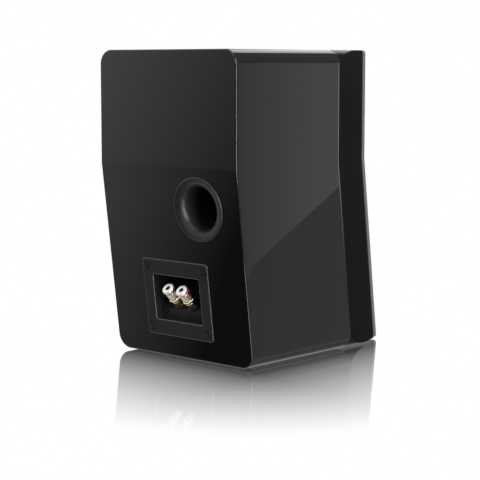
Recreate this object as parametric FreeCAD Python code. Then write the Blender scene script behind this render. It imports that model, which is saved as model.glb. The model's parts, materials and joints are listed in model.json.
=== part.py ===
"""Two-way bookshelf speaker with a kinked cabinet, rear port and recessed binding posts.

Millimetres. +X is to the right seen from the front, the grille faces -Y, +Z is up. The origin is
on the surface the feet stand on, below the middle of the whole object.
"""
import FreeCAD, Part
import math
import os

V = FreeCAD.Vector

# ---------------------------------------------------------------- driving dimensions
# Cabinet
CAB_W = 228.0           # across the gloss sides
CAB_H = 375.0           # underside to top, without feet
TOP_RUN = 138.6         # top down to the kink
LEAN_DEG = 7.08         # lean of everything below the kink
SIDE_D = 187.0          # rear face to the front arris of the gloss sides, rear panel included
EDGE_R = 18.0           # long front-to-back edges
WALL = 15.0             # top, bottom and sides
REAR_T = 15.0           # rear panel
ARRIS_R = 1.8           # eased outline of the rear panel
SEAM_R = 1.0            # eased front outline of the shell
FACET_D = 79.4          # front-to-back length of the baffle's side facets
FACET_IN = 25.8         # how far each facet draws the side in
BAFFLE_T = 25.0         # thickness behind the flat front
GRILLE_T = 7.0          # grille with its cloth
FOOT_T = 2.0            # foot thickness
FOOT_R = 8.0
FOOT_INSET = 24.0       # foot centre from the edges around it

# Reflex port
PORT_X = -48.5          # port axis from the middle
PORT_DOWN = 49.0        # port axis below the kink, along the slope
PORT_R = 25.0           # throat radius
PORT_WALL = 2.5
PORT_LIP_R = 39.3       # outer radius of the rear lip
PORT_LIP_T = 3.0        # how far the lip stands proud
LIP_ROUND = 2.2         # rounding of the lip's rim
PORT_LEN = 128.0        # rear face to inner mouth
PORT_FLARE_IN = 26.0    # length of the inner flare
PORT_SEAT_CLEAR = 0.2   # flare body in the panel hole

# Terminal cup
CUP_W, CUP_H = 110.0, 96.0      # plate
CUP_T = 2.0                     # plate thickness
CUP_RISE = 26.7                 # plate's lower edge above the cabinet's bottom edge, along the slope
CUP_R = 4.0                     # plate corners
MOUTH_W, MOUTH_H = 78.0, 56.3   # recess opening
MOUTH_UP = 0.1                  # recess centre above the plate centre
CUP_WALL = 2.5
CUP_DEPTH = 45.0                # recess floor to the plate's back
STEP_DEPTH = 8.0                # depth of the riser below the post panel
STEP_H = 12.5                   # height of that riser
CUP_CLEAR = 0.5                 # cup body in the panel cut-out
SCREW_DX, SCREW_DY = 95.0, 77.0 # plate screws, centre to centre
PLATE_SCREW_R = 2.0             # thread

# Binding posts
POST_GAP = 23.0         # centre to centre
POST_RISE_DEG = 45.0    # post axis above the horizontal
POST_ON_PANEL = 8.0     # post axis from the post panel's lower edge
PANEL_T = 4.0           # post panel
SHAFT_R = 3.5
BANANA_R = 2.05         # socket for a 4 mm plug
BANANA_DEEP = 19.0
BUSH_T = 2.5            # insulating bush above the panel
JAW_TOP = 8.5           # top of the fixed jaw above the panel
COLLAR_T = 2.7
NUT_GAP = 0.3           # between collar and nut
NUT_TOP = 31.2          # top of the nut's cap above the panel
CAP_R = 7.9
CAP_T = 3.6
GRIP_R = 7.2
RING_T = 1.7            # colour ring under the cap
RUN_CLEAR = 0.05        # radial clearance on the shafts

# Woofer, on the leaning front
WOOF_RISE = 126.0       # centre above the baffle's lower edge, along the slope
WOOF_R = 84.0           # frame radius
WOOF_T = 4.0            # frame thickness
WOOF_CUT_R = 73.0       # baffle cut-out
WOOF_PCR = 78.5         # screw circle radius
WOOF_SCREW_R = 1.6
WOOF_SCREW_L = 18.0
WOOF_SINK = 1.6         # screw head sunk in the frame
GASKET_T = 1.0
CONE_R = 57.0           # cone radius at the surround
WOOF_COIL_R = 13.0      # voice coil mean radius
WOOF_DEEP = 42.0        # frame front to its back ring
WOOF_MAG_R = 45.0
WOOF_MAG_T = 15.0
PLATE_T = 6.0           # woofer top and back plates
CONE_T = 1.0

# Tweeter, on the upright front
TWEET_DROP = 73.0       # centre below the cabinet's top
TWEET_R = 52.0
TWEET_T = 4.0
TWEET_CUT_R = 38.0
TWEET_PCR = 45.0
TWEET_SCREW_R = 1.4
TWEET_SCREW_L = 16.0
TWEET_SINK = 1.4
DOME_R = 13.0
TWEET_MAG_R = 34.0
TWEET_MAG_T = 10.0

# Grille
GRILLE_R = 4.0          # corners
GRILLE_BAR = 16.0       # frame bars
CLOTH_T = 0.8
PEG_R = 3.0
PEG_LEN = 8.0
PEG_INSET = 8.5         # peg axis from the grille's side
SOCKET_R = 5.0

# Inside
BRACE_T = 12.0
BRACE_BAR = 18.0
BRACE_BACK = 165.0      # brace centre in front of the rear face
PAD_T = 12.0
BOARD_W, BOARD_H, BOARD_T = 80.0, 130.0, 1.6
BOARD_RISE = 30.0       # board's lower edge above the inner floor
BOARD_BACK = 62.0       # board's rear edge in front of the rear panel
STANDOFF_H = 8.0
WIRE_R = 1.3

# ---------------------------------------------------------------- derived places
LEAN = math.radians(LEAN_DEG)
LEAN_TAN = math.tan(LEAN)
Z_BOTTOM = FOOT_T
Z_TOP = FOOT_T + CAB_H
Z_KINK = Z_TOP - TOP_RUN
SLOPE_LEN = (Z_KINK - Z_BOTTOM) / math.cos(LEAN)
SHIFT = (Z_KINK - Z_BOTTOM) * LEAN_TAN
DEPTH = SIDE_D + FACET_D + GRILLE_T + SHIFT
LIP_OVER = max(0.0, (PORT_LIP_R - LIP_ROUND - PORT_DOWN) * math.sin(LEAN)
               + (PORT_LIP_T - LIP_ROUND) * math.cos(LEAN) + LIP_ROUND)
Y_REAR = (DEPTH - LIP_OVER) / 2
Y_SEAM = Y_REAR - SIDE_D
Y_FRONT = Y_SEAM - FACET_D
FRONT_HALF = CAB_W / 2 - FACET_IN
FACET_ANGLE = math.atan2(FACET_IN, FACET_D)
Z_MID = (Z_TOP + Z_BOTTOM) / 2
REACH = CAB_H + 60.0
PLATE_DOWN = SLOPE_LEN - CUP_RISE - CUP_H / 2
WOOF_DOWN = SLOPE_LEN - WOOF_RISE
Z_TWEET = Z_TOP - TWEET_DROP
WOOF_REBATE = WOOF_T + GASKET_T


def frame(origin, x_dir, y_dir, z_dir):
    """Placement whose local axes are the three directions."""
    matrix = FreeCAD.Matrix(
        x_dir.x, y_dir.x, z_dir.x, origin.x,
        x_dir.y, y_dir.y, z_dir.y, origin.y,
        x_dir.z, y_dir.z, z_dir.z, origin.z,
        0, 0, 0, 1,
    )
    return FreeCAD.Placement(matrix)


UP_SLOPE = V(0, math.sin(LEAN), math.cos(LEAN))
REAR_OUT = V(0, math.cos(LEAN), -math.sin(LEAN))
FRONT_OUT = REAR_OUT * -1
POST_RISE = math.radians(POST_RISE_DEG)
POST_OUT = V(0, math.cos(POST_RISE), math.sin(POST_RISE))
POST_IN_PLANE = V(0, -math.sin(POST_RISE), math.cos(POST_RISE))


def rear_low(x, down):
    """Frame on the leaning rear face: local x is -X, y is up the slope, z is outward."""
    origin = V(x, Y_REAR, Z_KINK) - UP_SLOPE * down
    return frame(origin, V(-1, 0, 0), UP_SLOPE, REAR_OUT)


def front_low(x, down):
    """Frame on the leaning front face: local x is +X, y is up the slope, z is outward."""
    origin = V(x, Y_FRONT, Z_KINK) - UP_SLOPE * down
    return frame(origin, V(1, 0, 0), UP_SLOPE, FRONT_OUT)


def facing_front(x, y, z):
    """Frame with local z along -Y and local y up."""
    return frame(V(x, y, z), V(1, 0, 0), V(0, 0, 1), V(0, -1, 0))


def put(shape, placement):
    """Copy of a shape carried from a local frame into the speaker's frame."""
    placed = shape.copy()
    placed.Placement = placement.multiply(shape.Placement)
    return placed


# ---------------------------------------------------------------- basic forms
def disc(radius, low, high):
    return Part.makeCylinder(radius, high - low, V(0, 0, low))


def ring(inner, outer, low, high):
    return disc(outer, low, high).cut(disc(inner, low - 1, high + 1))


def turned(profile):
    """Solid turned about local z from a closed (radius, height) profile."""
    points = [V(r, 0, z) for r, z in profile]
    face = Part.Face(Part.makePolygon(points + points[:1]))
    return face.revolve(V(0, 0, 0), V(0, 0, 1), 360)


def rounded_outline(width, height, radius):
    """Rounded rectangle in local xy, centred."""
    a, b = width / 2, height / 2
    corners = [(a, b, 0), (-a, b, 90), (-a, -b, 180), (a, -b, 270)]
    edges = []
    ends = []
    for x, y, start in corners:
        cx = x - math.copysign(radius, x)
        cy = y - math.copysign(radius, y)
        at = [math.radians(start + step) for step in (0, 45, 90)]
        points = [V(cx + radius * math.cos(t), cy + radius * math.sin(t), 0) for t in at]
        edges.append(Part.Arc(*points).toShape())
        ends.append((points[0], points[2]))
    for i in range(4):
        edges.append(Part.makeLine(ends[i][1], ends[(i + 1) % 4][0]))
    return Part.Wire(Part.__sortEdges__(edges))


def slab(width, height, radius, low, high):
    """Rounded rectangle in local xy, from low to high along local z."""
    face = Part.Face(rounded_outline(width, height, radius))
    face.translate(V(0, 0, low))
    return face.extrude(V(0, 0, high - low))


def box(x0, x1, y0, y1, z0, z1):
    return Part.makeBox(x1 - x0, y1 - y0, z1 - z0, V(x0, y0, z0))


def around(shape, count, start=0.0):
    """Copies of a shape turned about local z."""
    copies = []
    for i in range(count):
        one = shape.copy()
        one.rotate(V(0, 0, 0), V(0, 0, 1), start + 360.0 * i / count)
        copies.append(one)
    return copies


def cut_all(shape, tools):
    for tool in tools:
        shape = shape.cut(tool)
    return shape


def screw(head_r, head_t, thread_r, length):
    """Pan-head screw: head above z 0, thread below, cross recess in the head."""
    body = disc(head_r, 0, head_t).fuse(disc(thread_r, -length, 0)).removeSplitter()
    rim = [e for e in body.Edges if e.BoundBox.ZMin > head_t - 1e-4 and e.Closed]
    body = body.makeFillet(head_t * 0.45, rim)
    arm = head_r * 0.62
    slot = head_r * 0.16
    deep = head_t * 0.55
    cross = box(-arm, arm, -slot, slot, head_t - deep, head_t + 1)
    return body.cut(cross.fuse(box(-slot, slot, -arm, arm, head_t - deep, head_t + 1)))


# ---------------------------------------------------------------- cabinet
def cabinet_tube(inset, radius):
    """Rounded tube form that the cabinet follows from front to back."""
    form = slab(CAB_W - 2 * inset, CAB_H - 2 * inset, radius, -REACH, REACH)
    return put(form, facing_front(0, 0, Z_MID))


def bent_block(plan):
    """Plan outline carried straight up from the kink and down along the lean below it."""
    points = [V(x, y, Z_KINK) for x, y in plan]
    face = Part.Face(Part.makePolygon(points + points[:1]))
    upper = face.extrude(V(0, 0, REACH))
    lower = face.extrude(V(0, -REACH * LEAN_TAN, -REACH))
    return upper.fuse(lower).removeSplitter()


def band(front, rear, half=None):
    """Bent block between two front-to-back places."""
    half = CAB_W if half is None else half
    return bent_block([(-half, front), (half, front), (half, rear), (-half, rear)])


def lean_shift(z):
    return LEAN_TAN * max(0.0, Z_KINK - z)


def outline_edges(shape, y_place, inside_form):
    """Outer edges that lie on the bent face through y_place."""
    chosen = []
    for edge in shape.Edges:
        first, last = edge.ParameterRange
        spots = [edge.valueAt(first + (last - first) * k) for k in (0.0, 0.5, 1.0)]
        on_face = all(abs(p.y - y_place + lean_shift(p.z)) < 1e-3 for p in spots)
        if on_face and not inside_form.isInside(spots[1], 1e-3, True):
            chosen.append(edge)
    return chosen


CLEAR_TUBE = cabinet_tube(0.3, EDGE_R)
INNER_R = max(EDGE_R - WALL, 2.0)
INNER_TUBE = cabinet_tube(WALL, INNER_R)


def make_cabinet_shell():
    walls = cabinet_tube(0, EDGE_R).cut(INNER_TUBE)
    shell = walls.common(band(Y_SEAM, Y_REAR - REAR_T))
    return shell.makeFillet(SEAM_R, outline_edges(shell, Y_SEAM, CLEAR_TUBE))


def make_rear_panel():
    panel = cabinet_tube(0, EDGE_R).common(band(Y_REAR - REAR_T, Y_REAR))
    panel = panel.makeFillet(ARRIS_R, outline_edges(panel, Y_REAR, CLEAR_TUBE))
    hole = disc(flare_body_r() + PORT_SEAT_CLEAR, -3 * REAR_T, REAR_T)
    panel = panel.cut(put(hole, rear_low(PORT_X, PORT_DOWN)))
    for opening in (panel_cutout(), gasket_seat()):
        panel = panel.cut(put(opening, rear_low(0, PLATE_DOWN)))
    return cut_all(panel, [put(disc(PLATE_SCREW_R, -REAR_T, 5), spot) for spot in plate_screws()])


def baffle_plan(front, inset):
    """Faceted plan of the baffle from the seam to a front place, drawn in by an inset."""
    slip = inset / math.cos(FACET_ANGLE)
    half_seam = CAB_W / 2 - slip
    half_front = half_seam - (Y_SEAM - front) * math.tan(FACET_ANGLE)
    return [(half_seam, Y_SEAM), (-half_seam, Y_SEAM), (-half_front, front), (half_front, front)]


def make_front_baffle():
    body = cabinet_tube(0, EDGE_R).common(bent_block(baffle_plan(Y_FRONT, 0)))
    hollow = INNER_TUBE.common(bent_block(baffle_plan(Y_FRONT + BAFFLE_T, WALL)))
    body = body.cut(hollow)
    woofer = disc(WOOF_CUT_R, -3 * BAFFLE_T, 5).fuse(disc(WOOF_R + 0.4, -WOOF_REBATE, 5))
    tweeter = disc(TWEET_CUT_R, -3 * BAFFLE_T, 5).fuse(disc(TWEET_R + 0.4, -TWEET_T, 5))
    body = body.cut(put(woofer, front_low(0, WOOF_DOWN)))
    body = body.cut(put(tweeter, facing_front(0, Y_FRONT, Z_TWEET)))
    pilot = disc(WOOF_SCREW_R, -WOOF_SCREW_L - WOOF_SINK - 0.5, 0)
    pilot.translate(V(WOOF_PCR, 0, 0))
    body = cut_all(body, [put(p, front_low(0, WOOF_DOWN)) for p in around(pilot, 6, 30)])
    pilot = disc(TWEET_SCREW_R, -TWEET_SCREW_L - TWEET_SINK - 0.5, 0)
    pilot.translate(V(TWEET_PCR, 0, 0))
    at = facing_front(0, Y_FRONT, Z_TWEET)
    body = cut_all(body, [put(p, at) for p in around(pilot, 4, 45)])
    sockets = [put(disc(SOCKET_R, -PEG_LEN - 4, 40), spot) for spot in peg_spots()]
    return cut_all(body, sockets)


def make_window_brace():
    middle = Y_REAR - BRACE_BACK
    block = INNER_TUBE.common(band(middle - BRACE_T / 2, middle + BRACE_T / 2))
    inner_w = CAB_W - 2 * WALL - 2 * BRACE_BAR
    low = Z_BOTTOM + WALL + BRACE_BAR
    high = Z_TOP - WALL - BRACE_BAR
    bar = BRACE_BAR / 2
    windows = [
        put(slab(inner_w, Z_KINK - bar - low, 8, -REACH, REACH),
            facing_front(0, 0, (Z_KINK - bar + low) / 2)),
        put(slab(inner_w, high - Z_KINK - bar, 8, -REACH, REACH),
            facing_front(0, 0, (high + Z_KINK + bar) / 2)),
    ]
    return cut_all(block, windows)


def make_damping_pad_top():
    front = Y_REAR - BRACE_BACK + BRACE_T / 2 + 4
    rear = Y_REAR - REAR_T - 4
    half = CAB_W / 2 - WALL - 6
    top = Z_TOP - WALL
    return box(-half, half, front, rear, top - PAD_T, top)


def make_damping_pad_side():
    """Wadding on the upper wall opposite the port, above the crossover board."""
    front = Y_REAR - BRACE_BACK + BRACE_T / 2 + 4
    rear = Y_REAR - REAR_T - 6
    inner = CAB_W / 2 - WALL
    return box(inner - PAD_T, inner, front, rear, Z_KINK + 6, Z_TOP - WALL - PAD_T - 6)


def foot_spots():
    rear = Y_REAR - SHIFT - FOOT_INSET
    front = Y_FRONT - SHIFT + FOOT_INSET
    wide = CAB_W / 2 - FOOT_INSET
    narrow = FRONT_HALF - FOOT_INSET
    return [(wide, rear), (-wide, rear), (narrow, front), (-narrow, front)]


def make_rubber_feet():
    feet = []
    for x, y in foot_spots():
        foot = turned([(0, 0), (FOOT_R - 0.8, 0), (FOOT_R, 0.8), (FOOT_R, FOOT_T), (0, FOOT_T)])
        foot.translate(V(x, y, 0))
        feet.append(foot)
    return Part.makeCompound(feet)


# ---------------------------------------------------------------- reflex port
FLARE_ROUND_R = 10.5    # radial size of the flare's rounded throat edge
FLARE_ROUND_Z = 13.4    # depth of that edge
FLARE_DISH = 0.4        # how far the lip's face falls towards the throat
FLARE_SOCKET = 12.0     # length of tube held in the flare


def flare_body_r():
    """Radius of the flare's body inside the panel hole."""
    return PORT_R + PORT_WALL + 3.5


def make_port_flare_outer():
    """Lip, dished face, elliptic throat edge and a socket for the tube."""
    top = PORT_LIP_T
    edge_r = PORT_R + FLARE_ROUND_R
    edge_z = top - FLARE_DISH
    throat_z = edge_z - FLARE_ROUND_Z
    end_z = -REAR_T - FLARE_SOCKET
    tube_r = PORT_R + PORT_WALL
    ellipse = Part.Ellipse(V(edge_r, 0, edge_z), V(PORT_R, 0, throat_z), V(edge_r, 0, throat_z))
    curve = Part.ArcOfEllipse(ellipse, 0, math.pi / 2).toShape()
    rim = V(PORT_LIP_R - LIP_ROUND, 0, top)
    bulge = LIP_ROUND * (1 - math.sqrt(0.5))
    arc = Part.Arc(rim, V(PORT_LIP_R - bulge, 0, top - bulge), V(PORT_LIP_R, 0, top - LIP_ROUND))
    corners = [
        V(PORT_LIP_R, 0, top - LIP_ROUND), V(PORT_LIP_R, 0, 0), V(flare_body_r(), 0, 0),
        V(flare_body_r(), 0, end_z), V(tube_r, 0, end_z), V(tube_r, 0, -REAR_T),
        V(PORT_R, 0, -REAR_T), V(PORT_R, 0, throat_z),
    ]
    lines = [Part.makeLine(a, b) for a, b in zip(corners, corners[1:])]
    lip_face = Part.makeLine(V(edge_r, 0, edge_z), rim)
    edges = [curve, lip_face, arc.toShape()] + lines
    face = Part.Face(Part.Wire(Part.__sortEdges__(edges)))
    flare = face.revolve(V(0, 0, 0), V(0, 0, 1), 360)
    return put(flare, rear_low(PORT_X, PORT_DOWN))


def make_port_tube():
    tube = ring(PORT_R, PORT_R + PORT_WALL, -(PORT_LEN - PORT_FLARE_IN), -REAR_T)
    return put(tube, rear_low(PORT_X, PORT_DOWN))


def make_port_flare_inner():
    """Inner mouth: a quarter-ellipse bell with an even wall and a socket for the tube."""
    start = -(PORT_LEN - PORT_FLARE_IN)
    spread = 12.0
    steps = 8
    inner = []
    outer = []
    for i in range(steps + 1):
        angle = math.pi / 2 * i / steps
        r = PORT_R + spread * (1 - math.cos(angle))
        z = start - PORT_FLARE_IN * math.sin(angle)
        inner.append((r, z))
        outer.append((r + PORT_WALL, z))
    sleeve = [(PORT_R + 2 * PORT_WALL, start), (PORT_R + 2 * PORT_WALL, start + FLARE_SOCKET),
              (PORT_R + PORT_WALL, start + FLARE_SOCKET), (PORT_R + PORT_WALL, start)]
    bell = turned(inner + outer[::-1][:-1] + sleeve)
    return put(bell, rear_low(PORT_X, PORT_DOWN))


# ---------------------------------------------------------------- terminal cup
PANEL_LEAN = LEAN + POST_RISE   # post axis from the plate's outward normal
PLATE_HOLE_R = 2.4
PLATE_SINK_R = 4.6
PLATE_SINK_T = 1.6
PLATE_HEAD_T = 1.2
GASKET_SQUEEZED = 0.8   # gasket thickness under the plate
GASKET_BAND = 3.0       # gasket width round the cut-out


def plate_screws():
    dx, dy = SCREW_DX / 2, SCREW_DY / 2
    base = rear_low(0, PLATE_DOWN)
    spots = [(dx, dy), (-dx, dy), (-dx, -dy), (dx, -dy)]
    return [base.multiply(FreeCAD.Placement(V(x, y, 0), FreeCAD.Rotation())) for x, y in spots]


def mouth_low():
    return MOUTH_UP - MOUTH_H / 2


def mouth_high():
    return MOUTH_UP + MOUTH_H / 2


def panel_foot():
    """Lower edge of the post panel, as (up, out) from the plate's centre on the panel face."""
    return mouth_low() + STEP_H, -STEP_DEPTH


def side_prism(profile, half):
    """Profile of (up, out) points carried across local x."""
    points = [V(-half, up, out) for up, out in profile]
    face = Part.Face(Part.makePolygon(points + points[:1]))
    return face.extrude(V(2 * half, 0, 0))


def cup_void():
    """Room inside the cup: low step, sloping post panel, back wall and ceiling."""
    foot_up, foot_out = panel_foot()
    back_up = foot_up + (CUP_DEPTH - STEP_DEPTH) / math.tan(PANEL_LEAN)
    profile = [
        (mouth_low(), 20), (mouth_low(), foot_out), (foot_up, foot_out),
        (back_up, -CUP_DEPTH), (mouth_high(), -CUP_DEPTH), (mouth_high(), 20),
    ]
    void = side_prism(profile, MOUTH_W / 2)
    corners = [e for e in void.Edges if e.BoundBox.XLength < 1e-6 and e.BoundBox.ZMax > 1]
    return void.makeFillet(3.0, corners)


def cup_block():
    """Outside of the cup behind the plate."""
    foot_up, foot_out = panel_foot()
    back_up = foot_up + (CUP_DEPTH - STEP_DEPTH) / math.tan(PANEL_LEAN)
    under = PANEL_T / math.sin(PANEL_LEAN)
    low = mouth_low() - CUP_WALL
    profile = [
        (low, 0), (low, foot_out - CUP_WALL),
        (foot_up - under + CUP_WALL / math.tan(PANEL_LEAN), foot_out - CUP_WALL),
        (back_up - under + CUP_WALL / math.tan(PANEL_LEAN), -CUP_DEPTH - CUP_WALL),
        (mouth_high() + CUP_WALL, -CUP_DEPTH - CUP_WALL), (mouth_high() + CUP_WALL, 0),
    ]
    return side_prism(profile, MOUTH_W / 2 + CUP_WALL)


def polarity_marks():
    """Raised minus and plus on the riser below the posts."""
    arm, bar, proud = 2.0, 0.7, 0.5
    up = mouth_low() + STEP_H / 2
    out = -STEP_DEPTH
    marks = []
    for side in (-1, 1):
        x = side * POST_GAP / 2
        marks.append(box(x - arm, x + arm, up - bar / 2, up + bar / 2, out - 0.2, out + proud))
    x = POST_GAP / 2
    marks.append(box(x - bar / 2, x + bar / 2, up - arm, up + arm, out - 0.2, out + proud))
    return marks


def make_terminal_cup():
    plate = slab(CUP_W, CUP_H, CUP_R, 0, CUP_T)
    rim = [e for e in plate.Edges if e.BoundBox.ZMin > CUP_T - 1e-4]
    plate = plate.makeFillet(0.8, rim)
    cup = plate.fuse(cup_block()).cut(cup_void())
    mouth = []
    for edge in cup.Edges:
        bounds = edge.BoundBox
        flat = bounds.ZMin > CUP_T - 1e-4
        if flat and max(abs(bounds.XMax), abs(bounds.XMin)) < MOUTH_W / 2 + 1e-3:
            mouth.append(edge)
    cup = cup.makeFillet(1.2, mouth)
    for mark in polarity_marks():
        cup = cup.fuse(mark)
    holes = [disc(PLATE_HOLE_R, -1, CUP_T + 1), turned(
        [(0, CUP_T - PLATE_SINK_T), (PLATE_SINK_R, CUP_T - PLATE_SINK_T),
         (PLATE_SINK_R + 0.6, CUP_T + 0.2), (0, CUP_T + 0.2)])]
    dx, dy = SCREW_DX / 2, SCREW_DY / 2
    for x, y in [(dx, dy), (-dx, dy), (-dx, -dy), (dx, -dy)]:
        for hole in holes:
            tool = hole.copy()
            tool.translate(V(x, y, 0))
            cup = cup.cut(tool)
    cup = put(cup, rear_low(0, PLATE_DOWN))
    return cut_all(cup, [put(disc(BUSH_SPIGOT_R, -PANEL_T - 3, 1), post_frame(s)) for s in (-1, 1)])


def gasket_seat():
    """Shallow rebate round the panel's cut-out that the gasket fills."""
    wide = MOUTH_W + 2 * (CUP_WALL + CUP_CLEAR + GASKET_BAND)
    high = MOUTH_H + 2 * (CUP_WALL + CUP_CLEAR + GASKET_BAND)
    seat = slab(wide, high, GASKET_BAND, -GASKET_SQUEEZED, 0)
    seat.translate(V(0, MOUTH_UP, 0))
    return seat


def panel_cutout():
    """Rear panel's opening for the cup's body."""
    wide = MOUTH_W + 2 * (CUP_WALL + CUP_CLEAR)
    high = MOUTH_H + 2 * (CUP_WALL + CUP_CLEAR)
    cutout = slab(wide, high, 1.0, -3 * REAR_T, REAR_T)
    cutout.translate(V(0, MOUTH_UP, 0))
    return cutout


def make_terminal_gasket():
    return put(gasket_seat().cut(panel_cutout()), rear_low(0, PLATE_DOWN))


def make_terminal_screws():
    one = screw(4.0, PLATE_HEAD_T, PLATE_SCREW_R, 16)
    one.translate(V(0, 0, CUP_T - PLATE_SINK_T))
    return Part.makeCompound([put(one, spot) for spot in plate_screws()])


# ---------------------------------------------------------------- binding posts
BUSH_SPIGOT_R = 5.0
SHAFT_TOP = NUT_TOP - CAP_T + 1.2
WASHER_T = 1.5
HEX_T = 4.5
LUG_T = 0.8


def post_frame(side):
    """Frame at a post's foot: local z along the post, side -1 at +X (minus), +1 at -X (plus)."""
    foot_up, foot_out = panel_foot()
    up = foot_up + POST_ON_PANEL * math.cos(PANEL_LEAN)
    out = foot_out - POST_ON_PANEL * math.sin(PANEL_LEAN)
    base = rear_low(-side * POST_GAP / 2, PLATE_DOWN)
    origin = base.multVec(V(0, up, out))
    return frame(origin, V(-1, 0, 0), POST_IN_PLANE, POST_OUT)


def make_post_shafts():
    """Hollow threaded post with a fixed jaw and a cross hole for bare wire."""
    shafts = []
    jaw = turned([(0, BUSH_T), (6.6, BUSH_T), (7.0, BUSH_T + 0.4), (7.0, JAW_TOP - 0.4),
                  (6.6, JAW_TOP), (0, JAW_TOP)])
    tail = -PANEL_T - WASHER_T - HEX_T - LUG_T - 3
    stem = disc(SHAFT_R, tail, SHAFT_TOP)
    one = jaw.fuse(stem).removeSplitter()
    one = one.cut(disc(BANANA_R, SHAFT_TOP - BANANA_DEEP, SHAFT_TOP + 1))
    cross = Part.makeCylinder(1.2, 30, V(-15, 0, JAW_TOP - 2.0), V(1, 0, 0))
    one = one.cut(cross)
    for side in (-1, 1):
        shafts.append(put(one, post_frame(side)))
    return Part.makeCompound(shafts)


def on_both_posts(one):
    return Part.makeCompound([put(one, post_frame(side)) for side in (-1, 1)])


def make_post_insulators():
    bush = turned([(SHAFT_R, -PANEL_T), (BUSH_SPIGOT_R, -PANEL_T), (BUSH_SPIGOT_R, 0), (8.2, 0),
                   (8.2, BUSH_T - 0.5), (7.7, BUSH_T), (SHAFT_R, BUSH_T)])
    return on_both_posts(bush)


def make_post_inner_washers():
    return on_both_posts(ring(SHAFT_R, 7.5, -PANEL_T - WASHER_T, -PANEL_T))


def make_post_hex_nuts():
    low = -PANEL_T - WASHER_T - HEX_T
    points = [V(6.0 * math.cos(math.radians(60 * i)), 6.0 * math.sin(math.radians(60 * i)), low)
              for i in range(7)]
    body = Part.Face(Part.makePolygon(points)).extrude(V(0, 0, HEX_T))
    return on_both_posts(body.cut(disc(SHAFT_R, low - 1, low + HEX_T + 1)))


def lug_levels():
    high = -PANEL_T - WASHER_T - HEX_T
    return high - LUG_T, high


def make_post_solder_lugs():
    low, high = lug_levels()
    body = disc(5.5, low, high).fuse(box(-2.2, 2.2, 0, 16, low, high)).removeSplitter()
    return on_both_posts(body.cut(disc(SHAFT_R, low - 1, high + 1)))


def collar():
    body = turned([(SHAFT_R + RUN_CLEAR, JAW_TOP), (7.2, JAW_TOP), (7.6, JAW_TOP + 0.5),
                   (7.6, JAW_TOP + COLLAR_T - 0.5), (7.2, JAW_TOP + COLLAR_T),
                   (SHAFT_R + RUN_CLEAR, JAW_TOP + COLLAR_T)])
    return body


PLUG_LEAD = 0.6    # how much wider the tapered plug hole is at its mouth


def thumb_nut():
    """Skirt, fluted grip, neck for the colour ring, and a rounded cap with a tapered plug hole."""
    low = JAW_TOP + COLLAR_T + NUT_GAP
    cap_low = NUT_TOP - CAP_T
    ring_low = cap_low - RING_T
    hole = SHAFT_R + RUN_CLEAR
    plug = BANANA_R + 0.35
    seat = SHAFT_TOP + 0.3
    profile = [
        (hole, low), (7.4, low), (8.0, low + 0.6), (8.0, low + 2.2), (7.0, low + 2.8),
        (7.0, low + 3.4), (GRIP_R, low + 3.6), (GRIP_R, ring_low), (5.6, ring_low), (5.6, cap_low),
        (CAP_R - 0.3, cap_low), (CAP_R, cap_low + 0.4), (CAP_R, NUT_TOP - 1.3),
        (CAP_R - 0.4, NUT_TOP - 0.5), (CAP_R - 1.3, NUT_TOP), (plug + PLUG_LEAD, NUT_TOP),
        (plug, seat), (hole, seat),
    ]
    nut = turned(profile)
    start = low + 4.2
    flute = Part.makeCylinder(0.55, ring_low + 0.4 - start, V(GRIP_R + 0.15, 0, start))
    return cut_all(nut, around(flute, 20))


def polarity_ring():
    low = NUT_TOP - CAP_T - RING_T
    return ring(5.6, 7.4, low, low + RING_T)


# ---------------------------------------------------------------- woofer
def woofer_place():
    return front_low(0, WOOF_DOWN)


BASKET_WALL = 2.5
WOOF_BORE_R = WOOF_CUT_R - 1.5 - BASKET_WALL    # inside of the basket's rim


def make_woofer_basket():
    """Flange, six-window bowl and the ring that carries the magnet."""
    neck = WOOF_MAG_R - 3
    bowl_r = WOOF_BORE_R + BASKET_WALL
    flange = turned([(WOOF_BORE_R, -WOOF_T), (WOOF_R, -WOOF_T), (WOOF_R, -1.0), (WOOF_R - 1.0, 0),
                     (WOOF_BORE_R + 1.5, 0), (WOOF_BORE_R, -1.5)])
    bowl = turned([(WOOF_BORE_R, -WOOF_T + 1), (bowl_r, -WOOF_T + 1), (bowl_r, -12),
                   (neck + 4, -WOOF_DEEP), (neck - 18, -WOOF_DEEP), (neck - 18, -WOOF_DEEP + 3),
                   (neck + 2, -WOOF_DEEP + 3), (WOOF_BORE_R, -13)])
    basket = flange.fuse(bowl).removeSplitter()
    window = box(neck + 6, WOOF_R, -17, 17, -WOOF_DEEP + 6, -14)
    basket = cut_all(basket, around(window, 6, 0))
    hole = disc(2.3, -10, 5)
    hole.translate(V(WOOF_PCR, 0, 0))
    sink = disc(4.2, -WOOF_SINK, 5)
    sink.translate(V(WOOF_PCR, 0, 0))
    basket = cut_all(basket, around(hole, 6, 30) + around(sink, 6, 30))
    return put(basket, woofer_place())


def make_woofer_gasket():
    gasket = ring(WOOF_CUT_R, WOOF_PCR + 4, -WOOF_REBATE, -WOOF_T)
    hole = disc(2.3, -10, 5)
    hole.translate(V(WOOF_PCR, 0, 0))
    return put(cut_all(gasket, around(hole, 6, 30)), woofer_place())


def make_woofer_screws():
    one = screw(3.9, 2.2, WOOF_SCREW_R, WOOF_SCREW_L)
    one.translate(V(WOOF_PCR, 0, -WOOF_SINK))
    return Part.makeCompound([put(s, woofer_place()) for s in around(one, 6, 30)])


CONE_FRONT = -6.0       # cone edge behind the baffle's face
NECK_Z = -32.0          # cone neck
NECK_R = WOOF_COIL_R + 0.5


def cone_z(radius):
    """Height of the cone's front face at a radius."""
    return NECK_Z + (CONE_FRONT - NECK_Z) * (radius - NECK_R) / (CONE_R - NECK_R)


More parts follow.
